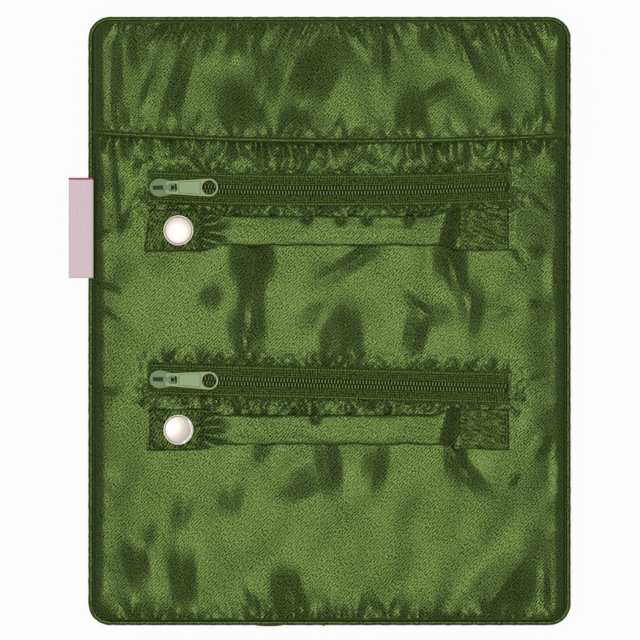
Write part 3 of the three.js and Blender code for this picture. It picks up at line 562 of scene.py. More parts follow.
def srgb(red, green, blue):
    """A colour as the eye reads it, 0 to 255, as the shader's linear one."""
    parts = [c / 255 for c in (red, green, blue)]
    return (*[c / 12.92 if c < 0.04045 else ((c + 0.055) / 1.055) ** 2.4 for c in parts], 1)


def graph(name):
    made = bpy.data.materials.new(name)
    made.use_nodes = True
    return made, made.node_tree, made.node_tree.nodes["Principled BSDF"]


def add(tree, kind, inputs=(), **settings):
    """A shader node, its inputs given as values or as other nodes' sockets."""
    node = tree.nodes.new("ShaderNode" + kind)
    for key, value in settings.items():
        setattr(node, key, value)
    wire(tree, node, inputs)
    return node


def wire(tree, node, inputs):
    for key, value in dict(inputs).items():
        socket = node.inputs[key]
        if isinstance(value, bpy.types.NodeSocket):
            tree.links.new(value, socket)
        else:
            socket.default_value = value


def calc(tree, operation, a, b=0.0):
    return add(tree, "Math", {0: a, 1: b}, operation=operation).outputs[0]


def mixed(tree, factor, first, second):
    node = add(tree, "Mix", {0: factor, 6: first, 7: second}, data_type="RGBA")
    return node.outputs[2]


def spread(tree, value, low, high):
    """A 0 to 1 value stretched over a range."""
    return add(tree, "MapRange", {0: value, 3: low, 4: high}).outputs[0]


def cloth_uv(tree, degrees=0.0):
    uv = add(tree, "UVMap", uv_map="cloth").outputs[0]
    return add(tree, "Mapping", {0: uv, 2: (0, 0, math.radians(degrees))}).outputs[0]


def noise(tree, vector, scale, detail=2.0):
    return add(tree, "TexNoise", {"Vector": vector, "Scale": scale, "Detail": detail}).outputs[0]


def bands(tree, vector, pitch, distortion=0.0):
    """Soft stripes across X, one each pitch."""
    scale = math.pi / (10 * pitch)
    settings = {"Vector": vector, "Scale": scale, "Distortion": distortion, "Detail Scale": 1.2}
    return add(tree, "TexWave", settings).outputs["Fac"]


def bump(tree, height, depth):
    return add(tree, "Bump", {"Height": height, "Distance": depth * MM, "Strength": 1.0}).outputs[0]


SATIN_SHEEN = srgb(150, 185, 90)


def satin(name, light, dark, metallic=0.45, roughness=0.34):
    """Satin: short slanting strokes of thread and a gloss that falls off as the cloth leans."""
    made, tree, shader = graph(name)
    slant = cloth_uv(tree, 45)
    twill = bands(tree, slant, 1.0, 5.0)
    long_way = add(tree, "Mapping", {0: slant, 3: (1.0, 0.5, 1.0)}).outputs[0]
    strokes = noise(tree, long_way, 2.6, 1.0)
    drift = noise(tree, cloth_uv(tree), 0.06)
    thread = calc(tree, "ADD", calc(tree, "MULTIPLY", twill, 0.16), calc(tree, "MULTIPLY", strokes, 0.84))
    tone = add(tree, "MapRange", {0: thread, 1: 0.4, 2: 0.6}).outputs[0]
    tone = calc(tree, "ADD", tone, spread(tree, drift, -0.2, 0.2))
    wire(tree, shader, {
        "Base Color": mixed(tree, tone, srgb(*dark), srgb(*light)),
        "Metallic": metallic,
        "Roughness": spread(tree, strokes, roughness - 0.05, roughness + 0.05),
        "Specular IOR Level": 0.03,
        "Specular Tint": SATIN_SHEEN,
        "Sheen Weight": 0.22,
        "Sheen Roughness": 0.35,
        "Sheen Tint": SATIN_SHEEN,
        "Normal": bump(tree, thread, 0.025),
    })
    return made


def woven(name, light, dark, pitch, roughness, depth=0.08):
    """Plain weave: two sets of threads that cross."""
    made, tree, shader = graph(name)
    warp = bands(tree, cloth_uv(tree), pitch, 0.6)
    weft = bands(tree, cloth_uv(tree, 90), pitch, 0.6)
    grain = noise(tree, cloth_uv(tree), 1.5 / pitch)
    rough_grain = add(tree, "MapRange", {0: grain, 1: 0.36, 2: 0.64, 3: 0.05, 4: 1.25}).outputs[0]
    thread = calc(tree, "MULTIPLY", calc(tree, "MAXIMUM", warp, weft), rough_grain)
    wire(tree, shader, {
        "Base Color": mixed(tree, thread, srgb(*dark), srgb(*light)),
        "Roughness": spread(tree, grain, roughness - 0.08, roughness + 0.08),
        "Specular IOR Level": 0.04,
        "Normal": bump(tree, thread, depth),
    })
    return made


def fleece(name, light, dark):
    made, tree, shader = graph(name)
    fibre = noise(tree, cloth_uv(tree), 0.8, 6.0)
    wire(tree, shader, {
        "Base Color": mixed(tree, fibre, srgb(*dark), srgb(*light)),
        "Roughness": 0.95,
        "Normal": bump(tree, fibre, 0.5),
    })
    return made


def seen_directly(tree):
    """One for rays from the camera, off a gloss or through something clear."""
    path = add(tree, "LightPath").outputs
    seen = calc(tree, "MAXIMUM", path["Is Camera Ray"], path["Is Glossy Ray"])
    return calc(tree, "MAXIMUM", seen, path["Is Transmission Ray"])


def object_point(tree):
    return add(tree, "TexCoord").outputs["Object"]


def hard(name, light, dark, metallic, roughness, scale, depth, specular=0.5, deep=None):
    """Moulded, painted or plated surface with a little unevenness; its last argument paints shade on it: a dark
    colour below one height, gone above another.
    """
    made, tree, shader = graph(name)
    mottle = noise(tree, object_point(tree), scale / MM, 3.0)
    colour = mixed(tree, mottle, srgb(*dark), srgb(*light))
    # Painted shade: the colour turns to a dark one on the lower parts of the piece.
    if deep:
        shade, low, high = deep
        height = add(tree, "SeparateXYZ", {0: object_point(tree)}).outputs[2]
        raised = add(tree, "MapRange", {0: height, 1: low * MM, 2: high * MM}).outputs[0]
        colour = mixed(tree, raised, srgb(*shade), colour)
    wire(tree, shader, {
        "Base Color": colour,
        "Metallic": metallic,
        "Roughness": spread(tree, mottle, roughness - 0.06, roughness + 0.08),
        "Specular IOR Level": specular,
        "Normal": bump(tree, mottle, depth),
    })
    return made


lining_satin = satin("lining_satin", (73, 89, 45), (9, 16, 3))
bar_satin = satin("bar_satin", (70, 87, 43), (8, 14, 3))
patch_satin = satin("patch_satin", (78, 95, 44), (3, 7, 0), 0.38, 0.4)
tab_satin = satin("tab_satin", (70, 86, 40), (2, 5, 0), 0.38, 0.4)
piping_satin = satin("piping_satin", (74, 90, 42), (16, 24, 5))
crimson_cloth = woven("crimson_cloth", (150, 36, 66), (96, 14, 36), 0.9, 0.75)
# The pocket bag is coloured darker, a painted shade for where it shows through the gap between the zip tapes.
bag_cloth = woven("bag_cloth", (66, 84, 42), (40, 54, 24), 0.7, 0.7)
tape_cloth = woven("tape_cloth", (88, 108, 46), (0, 2, 0), 1.0, 0.85)
label_cloth = woven("label_cloth", (232, 212, 218), (198, 174, 182), 0.5, 0.8, 0.04)
wadding_fleece = fleece("wadding_fleece", (240, 238, 230), (214, 210, 200))
# The coil's nylon is coloured much brighter than its own green at its crests, a painted highlight, and near
# black on its lower strands, a painted shade.
COIL_PAINTED_SHADE = ((3, 8, 0), 6.05, 6.26)
coil_nylon = hard("coil_nylon", (138, 156, 88), (112, 130, 68), 0.0, 0.5, 0.8, 0.02, 0.06, COIL_PAINTED_SHADE)
pull_paint = hard("pull_paint", (84, 101, 66), (56, 70, 42), 0.4, 0.36, 1.6, 0.02, 0.25)
# The slider's paint is the pull's made darker, a painted shade for its grooves and dark outlines.
slider_paint_shaded = hard("slider_paint_shaded", (58, 73, 42), (34, 45, 22), 0.45, 0.32, 1.6, 0.02, 0.15)
nickel = hard("nickel", (176, 170, 162), (150, 143, 134), 1.0, 0.46, 0.5, 0.01)
dot_thread = hard("dot_thread", (124, 144, 84), (84, 102, 50), 0.0, 0.6, 2.0, 0.03)
green_thread = hard("green_thread", (92, 112, 56), (48, 62, 26), 0.0, 0.6, 2.0, 0.03)
red_thread = hard("red_thread", (176, 60, 92), (132, 36, 62), 0.0, 0.65, 2.0, 0.03)


# Threads


def stitches(name, paths, pitch, dash, radius, material):
    """Rows of short threads laid along paths of points."""
    points, faces = [], []
    share = np.linspace(-1, 1, 5)
    for path in paths:
        run = run_along(path)
        for at in np.arange(pitch / 2, run[-1], pitch):
            line = joined(*[np.interp(at + dash / 2 * share, run, path[:, k]) for k in range(3)])
            line[:, 2] -= radius * share**2
            part, quads, _ = tube_parts(line, radius * (1 - 0.5 * share**4), 5)
            faces.extend([[i + len(points) for i in quad] for quad in quads])
            points.extend(part.tolist())
    return make(name, points, faces, material)


# Panel


def split_rows(ys):
    """Which of the three lengths of the panel each row of faces belongs to: 0 top, 1 middle, 2 bottom."""
    middle = (ys[1:] + ys[:-1]) / 2
    return np.where(middle > ZIP_Y[0], 0, np.where(middle > ZIP_Y[1], 1, 2))


# The three lengths of the panel, and the sections that each one covers
LENGTHS = {
    "top": ("pocket_section",),
    "middle": ("upper_section",),
    "bottom": ("lower_section", "flap_section"),
}


def panel_grid(column, row):
    """Points and faces over the panel, the length that each face is in, and which lie in a zip window."""
    edge_x, edge_y = SEAM_X - 0.25, SEAM_Y - np.array([0.15, 0.5, 1.2])
    xs = spaced((-SEAM_X, -edge_x, -WINDOW[0], WINDOW[0], edge_x, SEAM_X), column)
    stops = [-SEAM_Y, *-edge_y]
    for y in (ZIP_Y[1], ZIP_Y[0]):
        stops += [y - WINDOW[1], y, y + WINDOW[1]]
    ys = spaced((*stops, *edge_y[::-1], SEAM_Y), row)
    flat_x, flat_y = np.meshgrid(xs, ys)
    shift = np.zeros_like(flat_x)
    for k in range(2):
        near = smooth((26 - np.abs(flat_y - ZIP_Y[k])) / 14)
        bow = zip_bow(k, flat_x) * smooth((SEAM_X - np.abs(flat_x)) / 15)
        shift += near * (flat_x * math.tan(ZIP_TILT[k]) + bow)
    x, y = rounded(flat_x, flat_y + shift)
    rows = np.repeat(split_rows(ys), len(xs) - 1)
    return x.ravel(), y.ravel(), grid_faces(len(xs), len(ys)), rows, window_faces(xs, ys)


def window_faces(xs, ys):
    """True for the grid faces that lie in a zip window."""
    x, y = np.meshgrid((xs[1:] + xs[:-1]) / 2, (ys[1:] + ys[:-1]) / 2)
    hit = np.zeros_like(x, bool)
    for zip_y in ZIP_Y:
        hit |= (np.abs(x) < WINDOW[0]) & (np.abs(y - zip_y) < WINDOW[1])
    return hit.ravel()


def height_normals(height, x, y):
    """Normals of a height over X and Y, which keep the crests of its creases sharp."""
    step = 0.05
    along_x = (height(x + step, y) - height(x - step, y)) / (2 * step)
    along_y = (height(x, y + step) - height(x, y - step)) / (2 * step)
    normals = joined(-along_x, -along_y, np.ones_like(along_x))
    return normals / np.linalg.norm(normals, axis=1, keepdims=True)


def crisp_normals(height, points, faces):
    """Normals for the corners of each face: smooth, but each face keeps its own at a crest."""
    even = height_normals(height, points[:, 0], points[:, 1])
    middle = points[faces].mean(axis=1)
    own = height_normals(height, middle[:, 0], middle[:, 1])[:, None]
    turned = (even[faces] * own).sum(axis=2, keepdims=True) < math.cos(math.radians(CREST_ANGLE))
    return even, np.where(turned, own, even[faces])


def laid_out(points, depth):
    """Texture coordinates that run on down the rolled edges of the cloth."""
    x, y = points[:, 0], points[:, 1]
    down_x = np.sign(x) * depth * (1 - side_roll(x, y))
    down_y = np.sign(y) * depth * (1 - end_roll(x, y))
    return joined(x + down_x, y + down_y)


def panel_sheet(name, points, faces, rows, material, height=None):
    """One sheet over the whole panel, as three lengths split at the zips."""
    if height is None:
        lift = point_normals(points, faces)
        corners = lift[faces]
    else:
        lift, corners = crisp_normals(height, points, faces)
    flat = laid_out(points, LINING_Z - SEAM_Z)
    made = []
    for k, length in enumerate(LENGTHS):
        part, quads, uv, part_lift = keep_used(points, faces[rows == k], flat, lift)
        part_corners = corners[rows == k]
        piece = shell(f"{name}_{length}", part, quads, CLOTH_THICKNESS, material, uv, part_lift, part_corners)
        bend(piece)
        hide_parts(*[f"{section}_{name}" for section in LENGTHS[length]])
        made.append(piece)
    return made


def lining():
    x, y, faces, rows, window = panel_grid(COLUMN, ROW)
    points = joined(x, y, lining_height(x, y))
    made = panel_sheet("lining", points, faces[~window], rows[~window], lining_satin, lining_height)


def underside(x, y):
    return 1.5 * (1 - np.clip(seam_inset(x, y) / 14, 0, 1)) ** 2


# Where the cover shows past the bottom piping: middle and half width along X
PEEKS = ((-25.0, 9.0), (-2.5, 2.5))


def cover():
    x, y, faces, rows, _ = panel_grid(*COVER_GRID)
    slack = 0.25 * ripples(x, y, 41, 10, (18, 40), 0.3, 1.0) * smooth(seam_inset(x, y) / 6)
    z = underside(x, y) + np.clip(0.1 + slack, 0, 0.2) + CLOTH_THICKNESS
    peek = sum(np.exp(-(((x - at) / half) ** 4)) for at, half in PEEKS)
    low_edge = y < -SEAM_Y + 0.1
    y = np.where(low_edge, y - (PIPING_RADIUS * 2 + 0.45) * peek, y)
    z = np.where(low_edge & (peek > 0.3), 1.2, z)
    made = panel_sheet("cover", joined(x, y, z), faces, rows, crimson_cloth)


def wadding():
    x, y, faces, rows, _ = panel_grid(*WADDING_GRID)
    x, y = x * 0.985, y * 0.988
    low = underside(x, y) + 1.5
    high = np.minimum(pad_top(x, y), lining_height(x, y)) - 1.6
    for k in range(2):
        u, v = zip_local(k, x, y)
        inside = (np.abs(u) < 79) & (v > -35) & (v < 13)
        high = np.where(inside, 1.7, high)
    high = np.maximum(high, low + 0.3)
    n = len(x)
    both = np.concatenate([joined(x, y, high), joined(x, y, low)])
    for k, length in enumerate(LENGTHS):
        top = faces[rows == k]
        quads = np.concatenate([top, top[:, ::-1] + n, rim_walls(top, n)])
        part, quads, uv = keep_used(both, quads, both[:, :2])
        piece = make(f"wadding_{length}", part, quads, wadding_fleece, uv)
        bend(piece)
        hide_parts(*[f"{section}_wadding" for section in LENGTHS[length]])


def edge_line(inset, z, step=1.0):
    """The panel's outline from the middle of its top edge, clockwise, drawn in by an inset."""
    half_x, half_y, radius = HALF_WIDTH - inset, HALF_LENGTH - inset, CORNER - inset
    corners = [(1, 1), (1, -1), (-1, -1), (-1, 1)]
    line = [(0.0, half_y)]
    for k, (sx, sy) in enumerate(corners):
        for t in np.linspace(0, np.pi / 2, 14):
            turn = np.pi / 2 - k * np.pi / 2 - t
            x = sx * (half_x - radius) + radius * math.cos(turn)
            y = sy * (half_y - radius) + radius * math.sin(turn)
            line.append((x, y))
    line.append((0.0, half_y))
    line = np.array(line)
    run = run_along(line)
    s = np.linspace(0, run[-1], int(run[-1] / step))
    x, y = np.interp(s, run, line[:, 0]), np.interp(s, run, line[:, 1])
    return joined(x, y, np.full_like(x, z))


def cut_line(line, low, high):
    """The stretches of a closed line between two values of Y, each with its ends on them."""
    inside = (line[:, 1] > low) & (line[:, 1] < high)
    start = int(np.argmin(inside))
    line, inside = np.roll(line[:-1], -start, axis=0), np.roll(inside[:-1], -start)
    stretches, current = [], []
    for k in range(len(line) + 1):
        a, b = line[(k - 1) % len(line)], line[k % len(line)]
        if inside[k % len(line)] and k < len(line):
            if not current:
                current.append(cross(a, b, low, high))
            current.append(b)
        elif current:
            current.append(cross(a, b, low, high))
            stretches.append(np.array(current))
            current = []
    return stretches


def cross(a, b, low, high):
    """The point between two others where Y passes one of two values."""
    edge = low if min(a[1], b[1]) <= low else high
    return a + (b - a) * (edge - a[1]) / (b[1] - a[1])


REACH = {"top": (ZIP_Y[0], 999.0), "middle": (ZIP_Y[1], ZIP_Y[0]), "bottom": (-999.0, ZIP_Y[1])}


def cord_radius(s, seed):
    """Piping that is a little uneven along its length."""
    return PIPING_RADIUS * (1 + 0.05 * ripples(s, s, seed, 10, (3, 9), 0.0, 0.1))


def edge_piping():
    line = edge_line(PIPING_RADIUS, PIPING_Z)
    along = np.arange(len(line), dtype=float)
    line[:, 2] += 0.12 * ripples(along, along, 51, 8, (14, 50), 0.0, 0.1)
    seam = edge_line(2 * PIPING_RADIUS + 0.05, PIPING_Z + 0.55)
    nodes = {
        "top": [["pocket_section_piping"]],
        "middle": [["upper_section_piping_right"], ["upper_section_piping_left"]],
        "bottom": [["lower_section_piping_right", "lower_section_piping_left", "flap_section_piping"]],
    }
    for length in LENGTHS:
        for k, path in enumerate(cut_line(line, *REACH[length])):
            s = np.arange(len(path), dtype=float)
            piece = tube(f"edge_piping_{length}_{k + 1}", path, cord_radius(s, 52), 14, piping_satin)
            bend(piece)
            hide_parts(*nodes[length][k])
        rows = cut_line(seam, *REACH[length])
        bend(stitches(f"edge_stitches_{length}", rows, *SEAM_STITCH, green_thread))


END_ROWS = (0.98, 0.985, 0.99, 0.994, 0.9975, 1.0)


def slip_pocket():
    xs = spaced((-SEAM_X, SEAM_X), COLUMN)
    share = np.concatenate([np.linspace(0, 0.975, 45), END_ROWS])
    flat_x, t = np.meshgrid(xs, share)
    flat_y = mouth_y(flat_x) + (SEAM_Y - mouth_y(flat_x)) * t
    x, y = rounded(flat_x, flat_y)
    points = joined(x, y, front_height(x, y))
    faces = grid_faces(len(xs), len(share))
    lift, corners = crisp_normals(front_height, points, faces)
    flat = laid_out(points, LINING_Z - SEAM_Z + MOUTH_RISE)
    front = shell("slip_pocket_cloth", points, faces, CLOTH_THICKNESS, lining_satin, flat, lift, corners)
    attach(front, "pocket_section")
    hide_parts("slip_pocket_front")
    px = spaced((-SEAM_X + 1, SEAM_X - 1), 0.8)
    py = mouth_y(px)
    path = joined(px, py - PIPING_RADIUS + 0.3, front_height(px, py) - 0.1)
    piping = tube("mouth_piping", path, cord_radius(px, 53), 14, piping_satin)
    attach(piping, "pocket_section")
    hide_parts("slip_pocket_piping")
    row = joined(px, py + 0.75, front_height(px, py + 0.75) + 0.05)
    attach(stitches("mouth_stitches", [row], *SEAM_STITCH, green_thread), "pocket_section")


def side_label():
    low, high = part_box("label")
    x0, x1, y0, y1 = low.x / MM, high.x / MM, low.y / MM, high.y / MM
    z0, z1 = low.z / MM + 0.3, high.z / MM
    half = (z1 - z0) / 2
    turn = np.linspace(np.pi / 2, 3 * np.pi / 2, 9)
    profile = [(x, z1) for x in np.linspace(x1, x0 + half, 10)]
    profile += [(x0 + half + half * math.cos(t), (z0 + z1) / 2 + half * math.sin(t)) for t in turn[1:-1]]
    profile += [(x, z0) for x in np.linspace(x0 + half, x1, 10)]
    ys = np.linspace(y1, y0, 42)

    def droop(x, y):
        return LABEL_WAVE[0] * ((x1 - x) / (x1 - x0)) ** 2 * math.sin((y - y0) / LABEL_WAVE[1])

    points, flat = [], []
    for y in ys:
        for k, (x, z) in enumerate(profile):
            points.append((x, y, z + droop(x, y)))
            flat.append((k, y))
    faces = grid_faces(len(profile), len(ys))
    piece = shell("label_tape", points, faces, LABEL_THICKNESS, label_cloth, np.array(flat, float))
    bend(piece)
    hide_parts("label")
    hem = [(x, y1 - 0.2, z1 + droop(x, y1)) for x in np.linspace(x1, x0, 12)]
    bend(tube("label_hem", hem, 0.4, 8, red_thread))


# Zips

TAPE_HALF = 78.0
TAPE_INNER, TAPE_OUTER = 1.1, 12.4
TAPE_THICKNESS = 0.45
COIL_PITCH, COIL_START, COIL_END = 1.3, -68.7, 72.8
COIL_Y, COIL_HALF_WIDTH = 0.95, 0.75
COIL_Z, COIL_HALF_HEIGHT = 5.8, 0.45
COIL_THREAD = 0.23
BAG_HALF = 74.5
BAG_THICKNESS = 0.3
WELD_GAP = 0.00002
EASED_EDGE = 0.25


def zips():
    for k in range(2):
        body = SECTION[k]
        name = f"zip_{k + 1}"
        tapes(k, name, body)
        coils(k, name, body)
        bag(k, name, body)
        window_stitches(k, name, body)
        dress(f"{name}_slider", slider_paint_shaded, EASED_EDGE)
        dress(f"{name}_pull", pull_paint, EASED_EDGE)


def dress(node, material, width):
    """A rigid piece as it is, with its edges eased and its finish on."""
    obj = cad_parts[node]
    obj.data.materials.clear()
    obj.data.materials.append(material)
    weld = obj.modifiers.new("weld", "WELD")
    weld.merge_threshold = WELD_GAP
    ease = obj.modifiers.new("ease", "BEVEL")
    ease.width = width * MM
    ease.segments = 3
    ease.limit_method = "ANGLE"
    ease.angle_limit = math.radians(35)


def tapes(k, name, body):
    for row, side in (("upper", 1), ("lower", -1)):
        xs, ys = np.linspace(-TAPE_HALF, TAPE_HALF, 105), np.linspace(TAPE_INNER, TAPE_OUTER, 16)
        x, y = np.meshgrid(xs, side * ys if side > 0 else side * ys[::-1])
        wave = 0.08 * ripples(x.ravel(), y.ravel(), 61 + k, 8, (10, 30), 0.2, 0.5)
        z = TAPE_TOP + np.minimum(wave, 0)
        points = zip_place(k, joined(x, y, z))
        faces = grid_faces(len(xs), len(ys))
        piece = shell(f"{name}_{row}_tape", points, faces, TAPE_THICKNESS, tape_cloth, joined(x, y))
        if k == 0 and row == "upper":
            bend(piece)
        else:
            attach(piece, body)
        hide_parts(f"{name}_tape_{row}")


def coils(k, name, body):
    turn = np.linspace(0, 2 * np.pi, 12, endpoint=False)
    for row, side in (("upper", 1), ("lower", -1)):
        path = []
        first = COIL_START + (0.5 if side > 0 else 1.0) * COIL_PITCH
        for x in np.arange(first, COIL_END, COIL_PITCH):
            shift = COIL_PITCH * smooth((turn - 1.2 * np.pi) / (0.8 * np.pi))
            y = COIL_Y + COIL_HALF_WIDTH * np.cos(turn)
            z = COIL_Z + COIL_HALF_HEIGHT * np.sin(turn)
            path.append(joined(x + shift, side * y, z))
        path = zip_place(k, np.concatenate(path))
        piece = tube(f"{name}_{row}_teeth", path, COIL_THREAD, 8, coil_nylon)
        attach(piece, body)
        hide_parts(f"{name}_coil_{row}")


def bag(k, name, body):
    """Pocket bag: one cloth folded at its foot, drawn together at its sides."""
    low, high, foot, head, lip = 2.1, 3.4, -34.0, 11.0, -4.4
    mid, half = (low + high) / 2, (high - low) / 2
    turn = np.linspace(np.pi / 2, 3 * np.pi / 2, 7)[1:-1]
    profile = [(y, high) for y in np.linspace(lip, foot + half, 12)]
    profile += [(foot + half + half * math.cos(t), mid + half * math.sin(t)) for t in turn]
    profile += [(y, low) for y in np.linspace(foot + half, head, 16)]
    xs = np.linspace(-BAG_HALF, BAG_HALF, 60)
    points, flat = [], []
    for (y, z), s in zip(profile, run_along(profile)):
        for x in xs:
            pinch = 1 - 0.75 * smooth((np.abs(x) - 68) / 6.5)
            points.append((x, y, mid + (z - mid) * pinch))
            flat.append((x, s))
    points = zip_place(k, points)
    faces = grid_faces(len(xs), len(profile))[:, ::-1]
    piece = shell(f"{name}_bag", points, faces, BAG_THICKNESS, bag_cloth, np.array(flat))
    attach(piece, body)
    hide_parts(f"{name}_pocket_bag")


def window_stitches(k, name, body):
    """Dotted rows along the window's edges, and rows across its ends that run on down the bar's end."""
    u = np.linspace(-WINDOW[0], WINDOW[0], 120)
    dots = []
    for side in (1, -1):
        edge = np.full_like(u, side * (WINDOW[1] - 0.5))
        dots.append(zip_place(k, joined(u, edge, np.full_like(u, TAPE_TOP + 0.1))))
    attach(stitches(f"{name}_dots", dots, *WINDOW_DOT, dot_thread), body)
    paths = []
    foot = BAR_Y[k] - ZIP_Y[k] - 8
    for u, low in ((-WINDOW[0] - 0.9, -WINDOW[1] - 1), (WINDOW[0] + 0.8, foot), (WINDOW[0] + 2.2, foot)):
        v = np.linspace(low, WINDOW[1] + 1, 30)
        flat = zip_place(k, joined(np.full_like(v, u), v, np.zeros_like(v)))
        flat[:, 2] = lining_height(flat[:, 0], flat[:, 1]) + 0.06
        paths.append(flat)
    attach(stitches(f"{name}_stitches", paths, *WINDOW_STITCH, green_thread), body)


# Ring bars


def bar_ring():
    """One turn round the bar's section: shares of its half width and height, and which way it faces."""
    corners = [(1, 1), (-1, 1), (-1, -1), (1, -1)]
    between = (15, 1, 7, 1)
    ring = []
    for k, (side, rise) in enumerate(corners):
        for t in np.linspace(0, np.pi / 2, 5) + k * np.pi / 2:
            ring.append((side, rise, math.cos(t), math.sin(t)))
        toward = corners[(k + 1) % 4]
        for share in np.linspace(0, 1, between[k] + 2)[1:-1]:
            ring.append((side + (toward[0] - side) * share, rise + (toward[1] - rise) * share, *ring[-1][2:]))
    return np.array(ring).T


NOTCHES = ((-9.2, 4.7, 15.5, 32.8), (-5.6,))
TAB_SLANT = (2.4, 0.5)
TAB_SEAM = -53.6
TAB_HEMS = (1.4, 3.2)
TAB_TOP = 10.1
HEM_Z = 10.0
TAB_SEAM_Z = 9.95
BAR_TOP = 11.0
BAR_LOW = 6.2
BAR_ROUND = 0.7
ROOT_TOP = 6.65
END_X = (53.2, 73.8)
END_FOOT = -8.2
END_TOP = (9.2, 8.2)
END_Z = 6.8
END_THICKNESS = 0.8
END_LIFT = 0.08


def ring_bars():
    side, rise, dir_y, dir_z = bar_ring()
    round_y, round_z = 5.3 * side + BAR_ROUND * dir_y, 2.3 * rise + BAR_ROUND * dir_z
    around = np.concatenate([[0], np.cumsum(np.hypot(np.diff(round_y), np.diff(round_z)))])
    up = np.clip(dir_z, 0, 1)
    for k, bar_y in enumerate(BAR_Y):
        xs = spaced((TAB_END, TAB_SEAM, 40.0, 56.0), 0.8)
        x = xs[:, None] + 0 * side
        tab = 1 - smooth((x + 54) / 12)
        tuck_start = -55.5 + 1.2 * np.cos(5.5 * side + 0.9 + 1.7 * k)
        tuck = 1 - smooth((x - tuck_start) / (5 + 2 * np.sin(4.1 * side + 2 * k)))
        root = smooth((x - 46 - 1.6 * side) / 7.5)
        above = 6.0 + 2.3 * tab + 3.2 * smooth((x - 40) / 13.5)
        below = 6.2 + 2.1 * tab + 1.0 * root
        low = BAR_LOW + 2.9 * tab - 0.2 * root
        high = BAR_TOP - (BAR_TOP - TAB_TOP) * tuck - (BAR_TOP - ROOT_TOP) * root
        radius = np.minimum(BAR_ROUND, 0.48 * (high - low))
        y = side * (np.where(side > 0, above, below) - radius) + radius * dir_y
        z = (low + high) / 2 + rise * ((high - low) / 2 - radius) + radius * dir_z
        stuffed = (1 - tab) * (1 - root)
        relief = 0.15 * stuffed * (1 - side**2)
        relief += 0.04 * stuffed * ripples(x / 3, y, 71 + k, 14, (3, 9), 1.2, 0.5)
        fan = np.cos(15 * np.arctan2(y, x + 65) + 0.8 + 1.3 * k)
        relief += smooth((x + 55) / 3) * (1 - smooth((x + 48) / 9)) * (0.6 * fan - 0.3)
        relief -= 0.45 * np.exp(-(((x - TAB_SEAM) / 0.9) ** 2))
        relief += 0.3 * smooth((TAB_SEAM - x) / 2) * ripples(x, y, 75 + k, 10, (4, 9), 0.7, 0.8)
        for notch in NOTCHES[k]:
            dent = np.exp(-(((x - notch) / 1.6) ** 2)) * smooth((side - 0.2) / 0.8)
            relief -= 0.8 * dent
            y = y - 0.5 * dent
        y = y + 0.18 * stuffed * ripples(x, 0 * x, 77 + k, 6, (14, 40), 0.0, 0.1)
        y = y + 0.22 * stuffed * dir_y * ripples(x / 2, 0.6 * z, 79 + k, 12, (3, 8), 0.0, 0.5)
        hem = sum(np.exp(-(((x - TAB_END - inset) / 0.5) ** 2)) for inset in TAB_HEMS)
        z = z + up * (relief - 0.12 * hem)
        x = x - TAB_SLANT[k] * tab * (1 - side) / 2 * smooth((TAB_SEAM - x) / 18)
        points = joined(x, y + bar_y, z)
        sides = len(side)
        faces = grid_faces(sides, len(xs), closed=True)[:, ::-1].tolist()
        faces += [list(range(sides)), list(range((len(xs) - 1) * sides, len(xs) * sides))[::-1]]
        uv = joined(x, np.tile(-around, len(xs)))
        piece = make(f"ring_bar_{k + 1}", points, faces, bar_satin, uv)
        piece.data.materials.append(tab_satin)
        for polygon in piece.data.polygons:
            polygon.material_index = int(polygon.center.x < TAB_SEAM * MM)
        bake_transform(piece)
        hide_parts(f"ring_bar_{k + 1}_cover", f"ring_bar_{k + 1}_filling")
        tab_stitches(k, bar_y)
        anchor(k, bar_y)
        snap(k, bar_y)


def tab_stitches(k, bar_y):
    paths = []
    v = np.linspace(-7.6, 7.6, 20)
    for inset in TAB_HEMS:
        u = TAB_END + inset - TAB_SLANT[k] * (1 - v / 8.3) / 2
        paths.append(joined(u, v + bar_y, np.full_like(v, HEM_Z)))
    paths.append(joined(np.full_like(v, TAB_SEAM - 0.9), v + bar_y, np.full_like(v, TAB_SEAM_Z)))
    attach(stitches(f"tab_{k + 1}_stitches", paths, *TAB_STITCH, green_thread), f"bar_{k + 1}")


def anchor_height(x, y):
    return END_Z + 0.34 * ripples(x, y, 81, 10, (3, 8), 0.7, 0.8)


def anchor(k, bar_y):
    x0, x1, y0, y1 = *END_X, END_FOOT, END_TOP[k]
    xs, ys = np.linspace(x0, x1, 42), np.linspace(y0, y1, 36)
    x, y = np.meshgrid(xs, ys)
    edge = np.minimum(np.minimum(x - x0, x1 - x), np.minimum(y - y0, y1 - y))
    z = anchor_height(x, y) - 0.4 * (1 - arch(edge / 0.9))
    points = joined(x, y + bar_y, z)
    faces = grid_faces(len(xs), len(ys))
    piece = shell(f"bar_end_{k + 1}", points, faces, END_THICKNESS, patch_satin, joined(x, y))
    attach(piece, SECTION[k])
    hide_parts(f"ring_bar_{k + 1}_anchor")
    paths = []
    rng = np.random.default_rng(91 + k)
    s = np.linspace(0, 1, 40)
    for row in np.linspace(y0 + 1.4, y1 - 1.4, 6):
        py = row + 0.9 * np.sin(2 * np.pi * (s * rng.uniform(2.2, 3.4) + rng.uniform(0, 1)))
        px = x0 + 1.6 + (x1 - x0 - 3.4) * s
        paths.append(joined(px, py + bar_y, anchor_height(px, py) + END_LIFT))
    for column in (x0 + 0.9, x1 - 1.0, x1 - 2.3):
        py = y0 + 0.8 + (y1 - y0 - 1.6) * s
        px = np.full_like(py, column)
        paths.append(joined(px, py + bar_y, anchor_height(px, py) + END_LIFT))
    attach(stitches(f"bar_end_{k + 1}_stitches", paths, *END_STITCH, green_thread), SECTION[k])


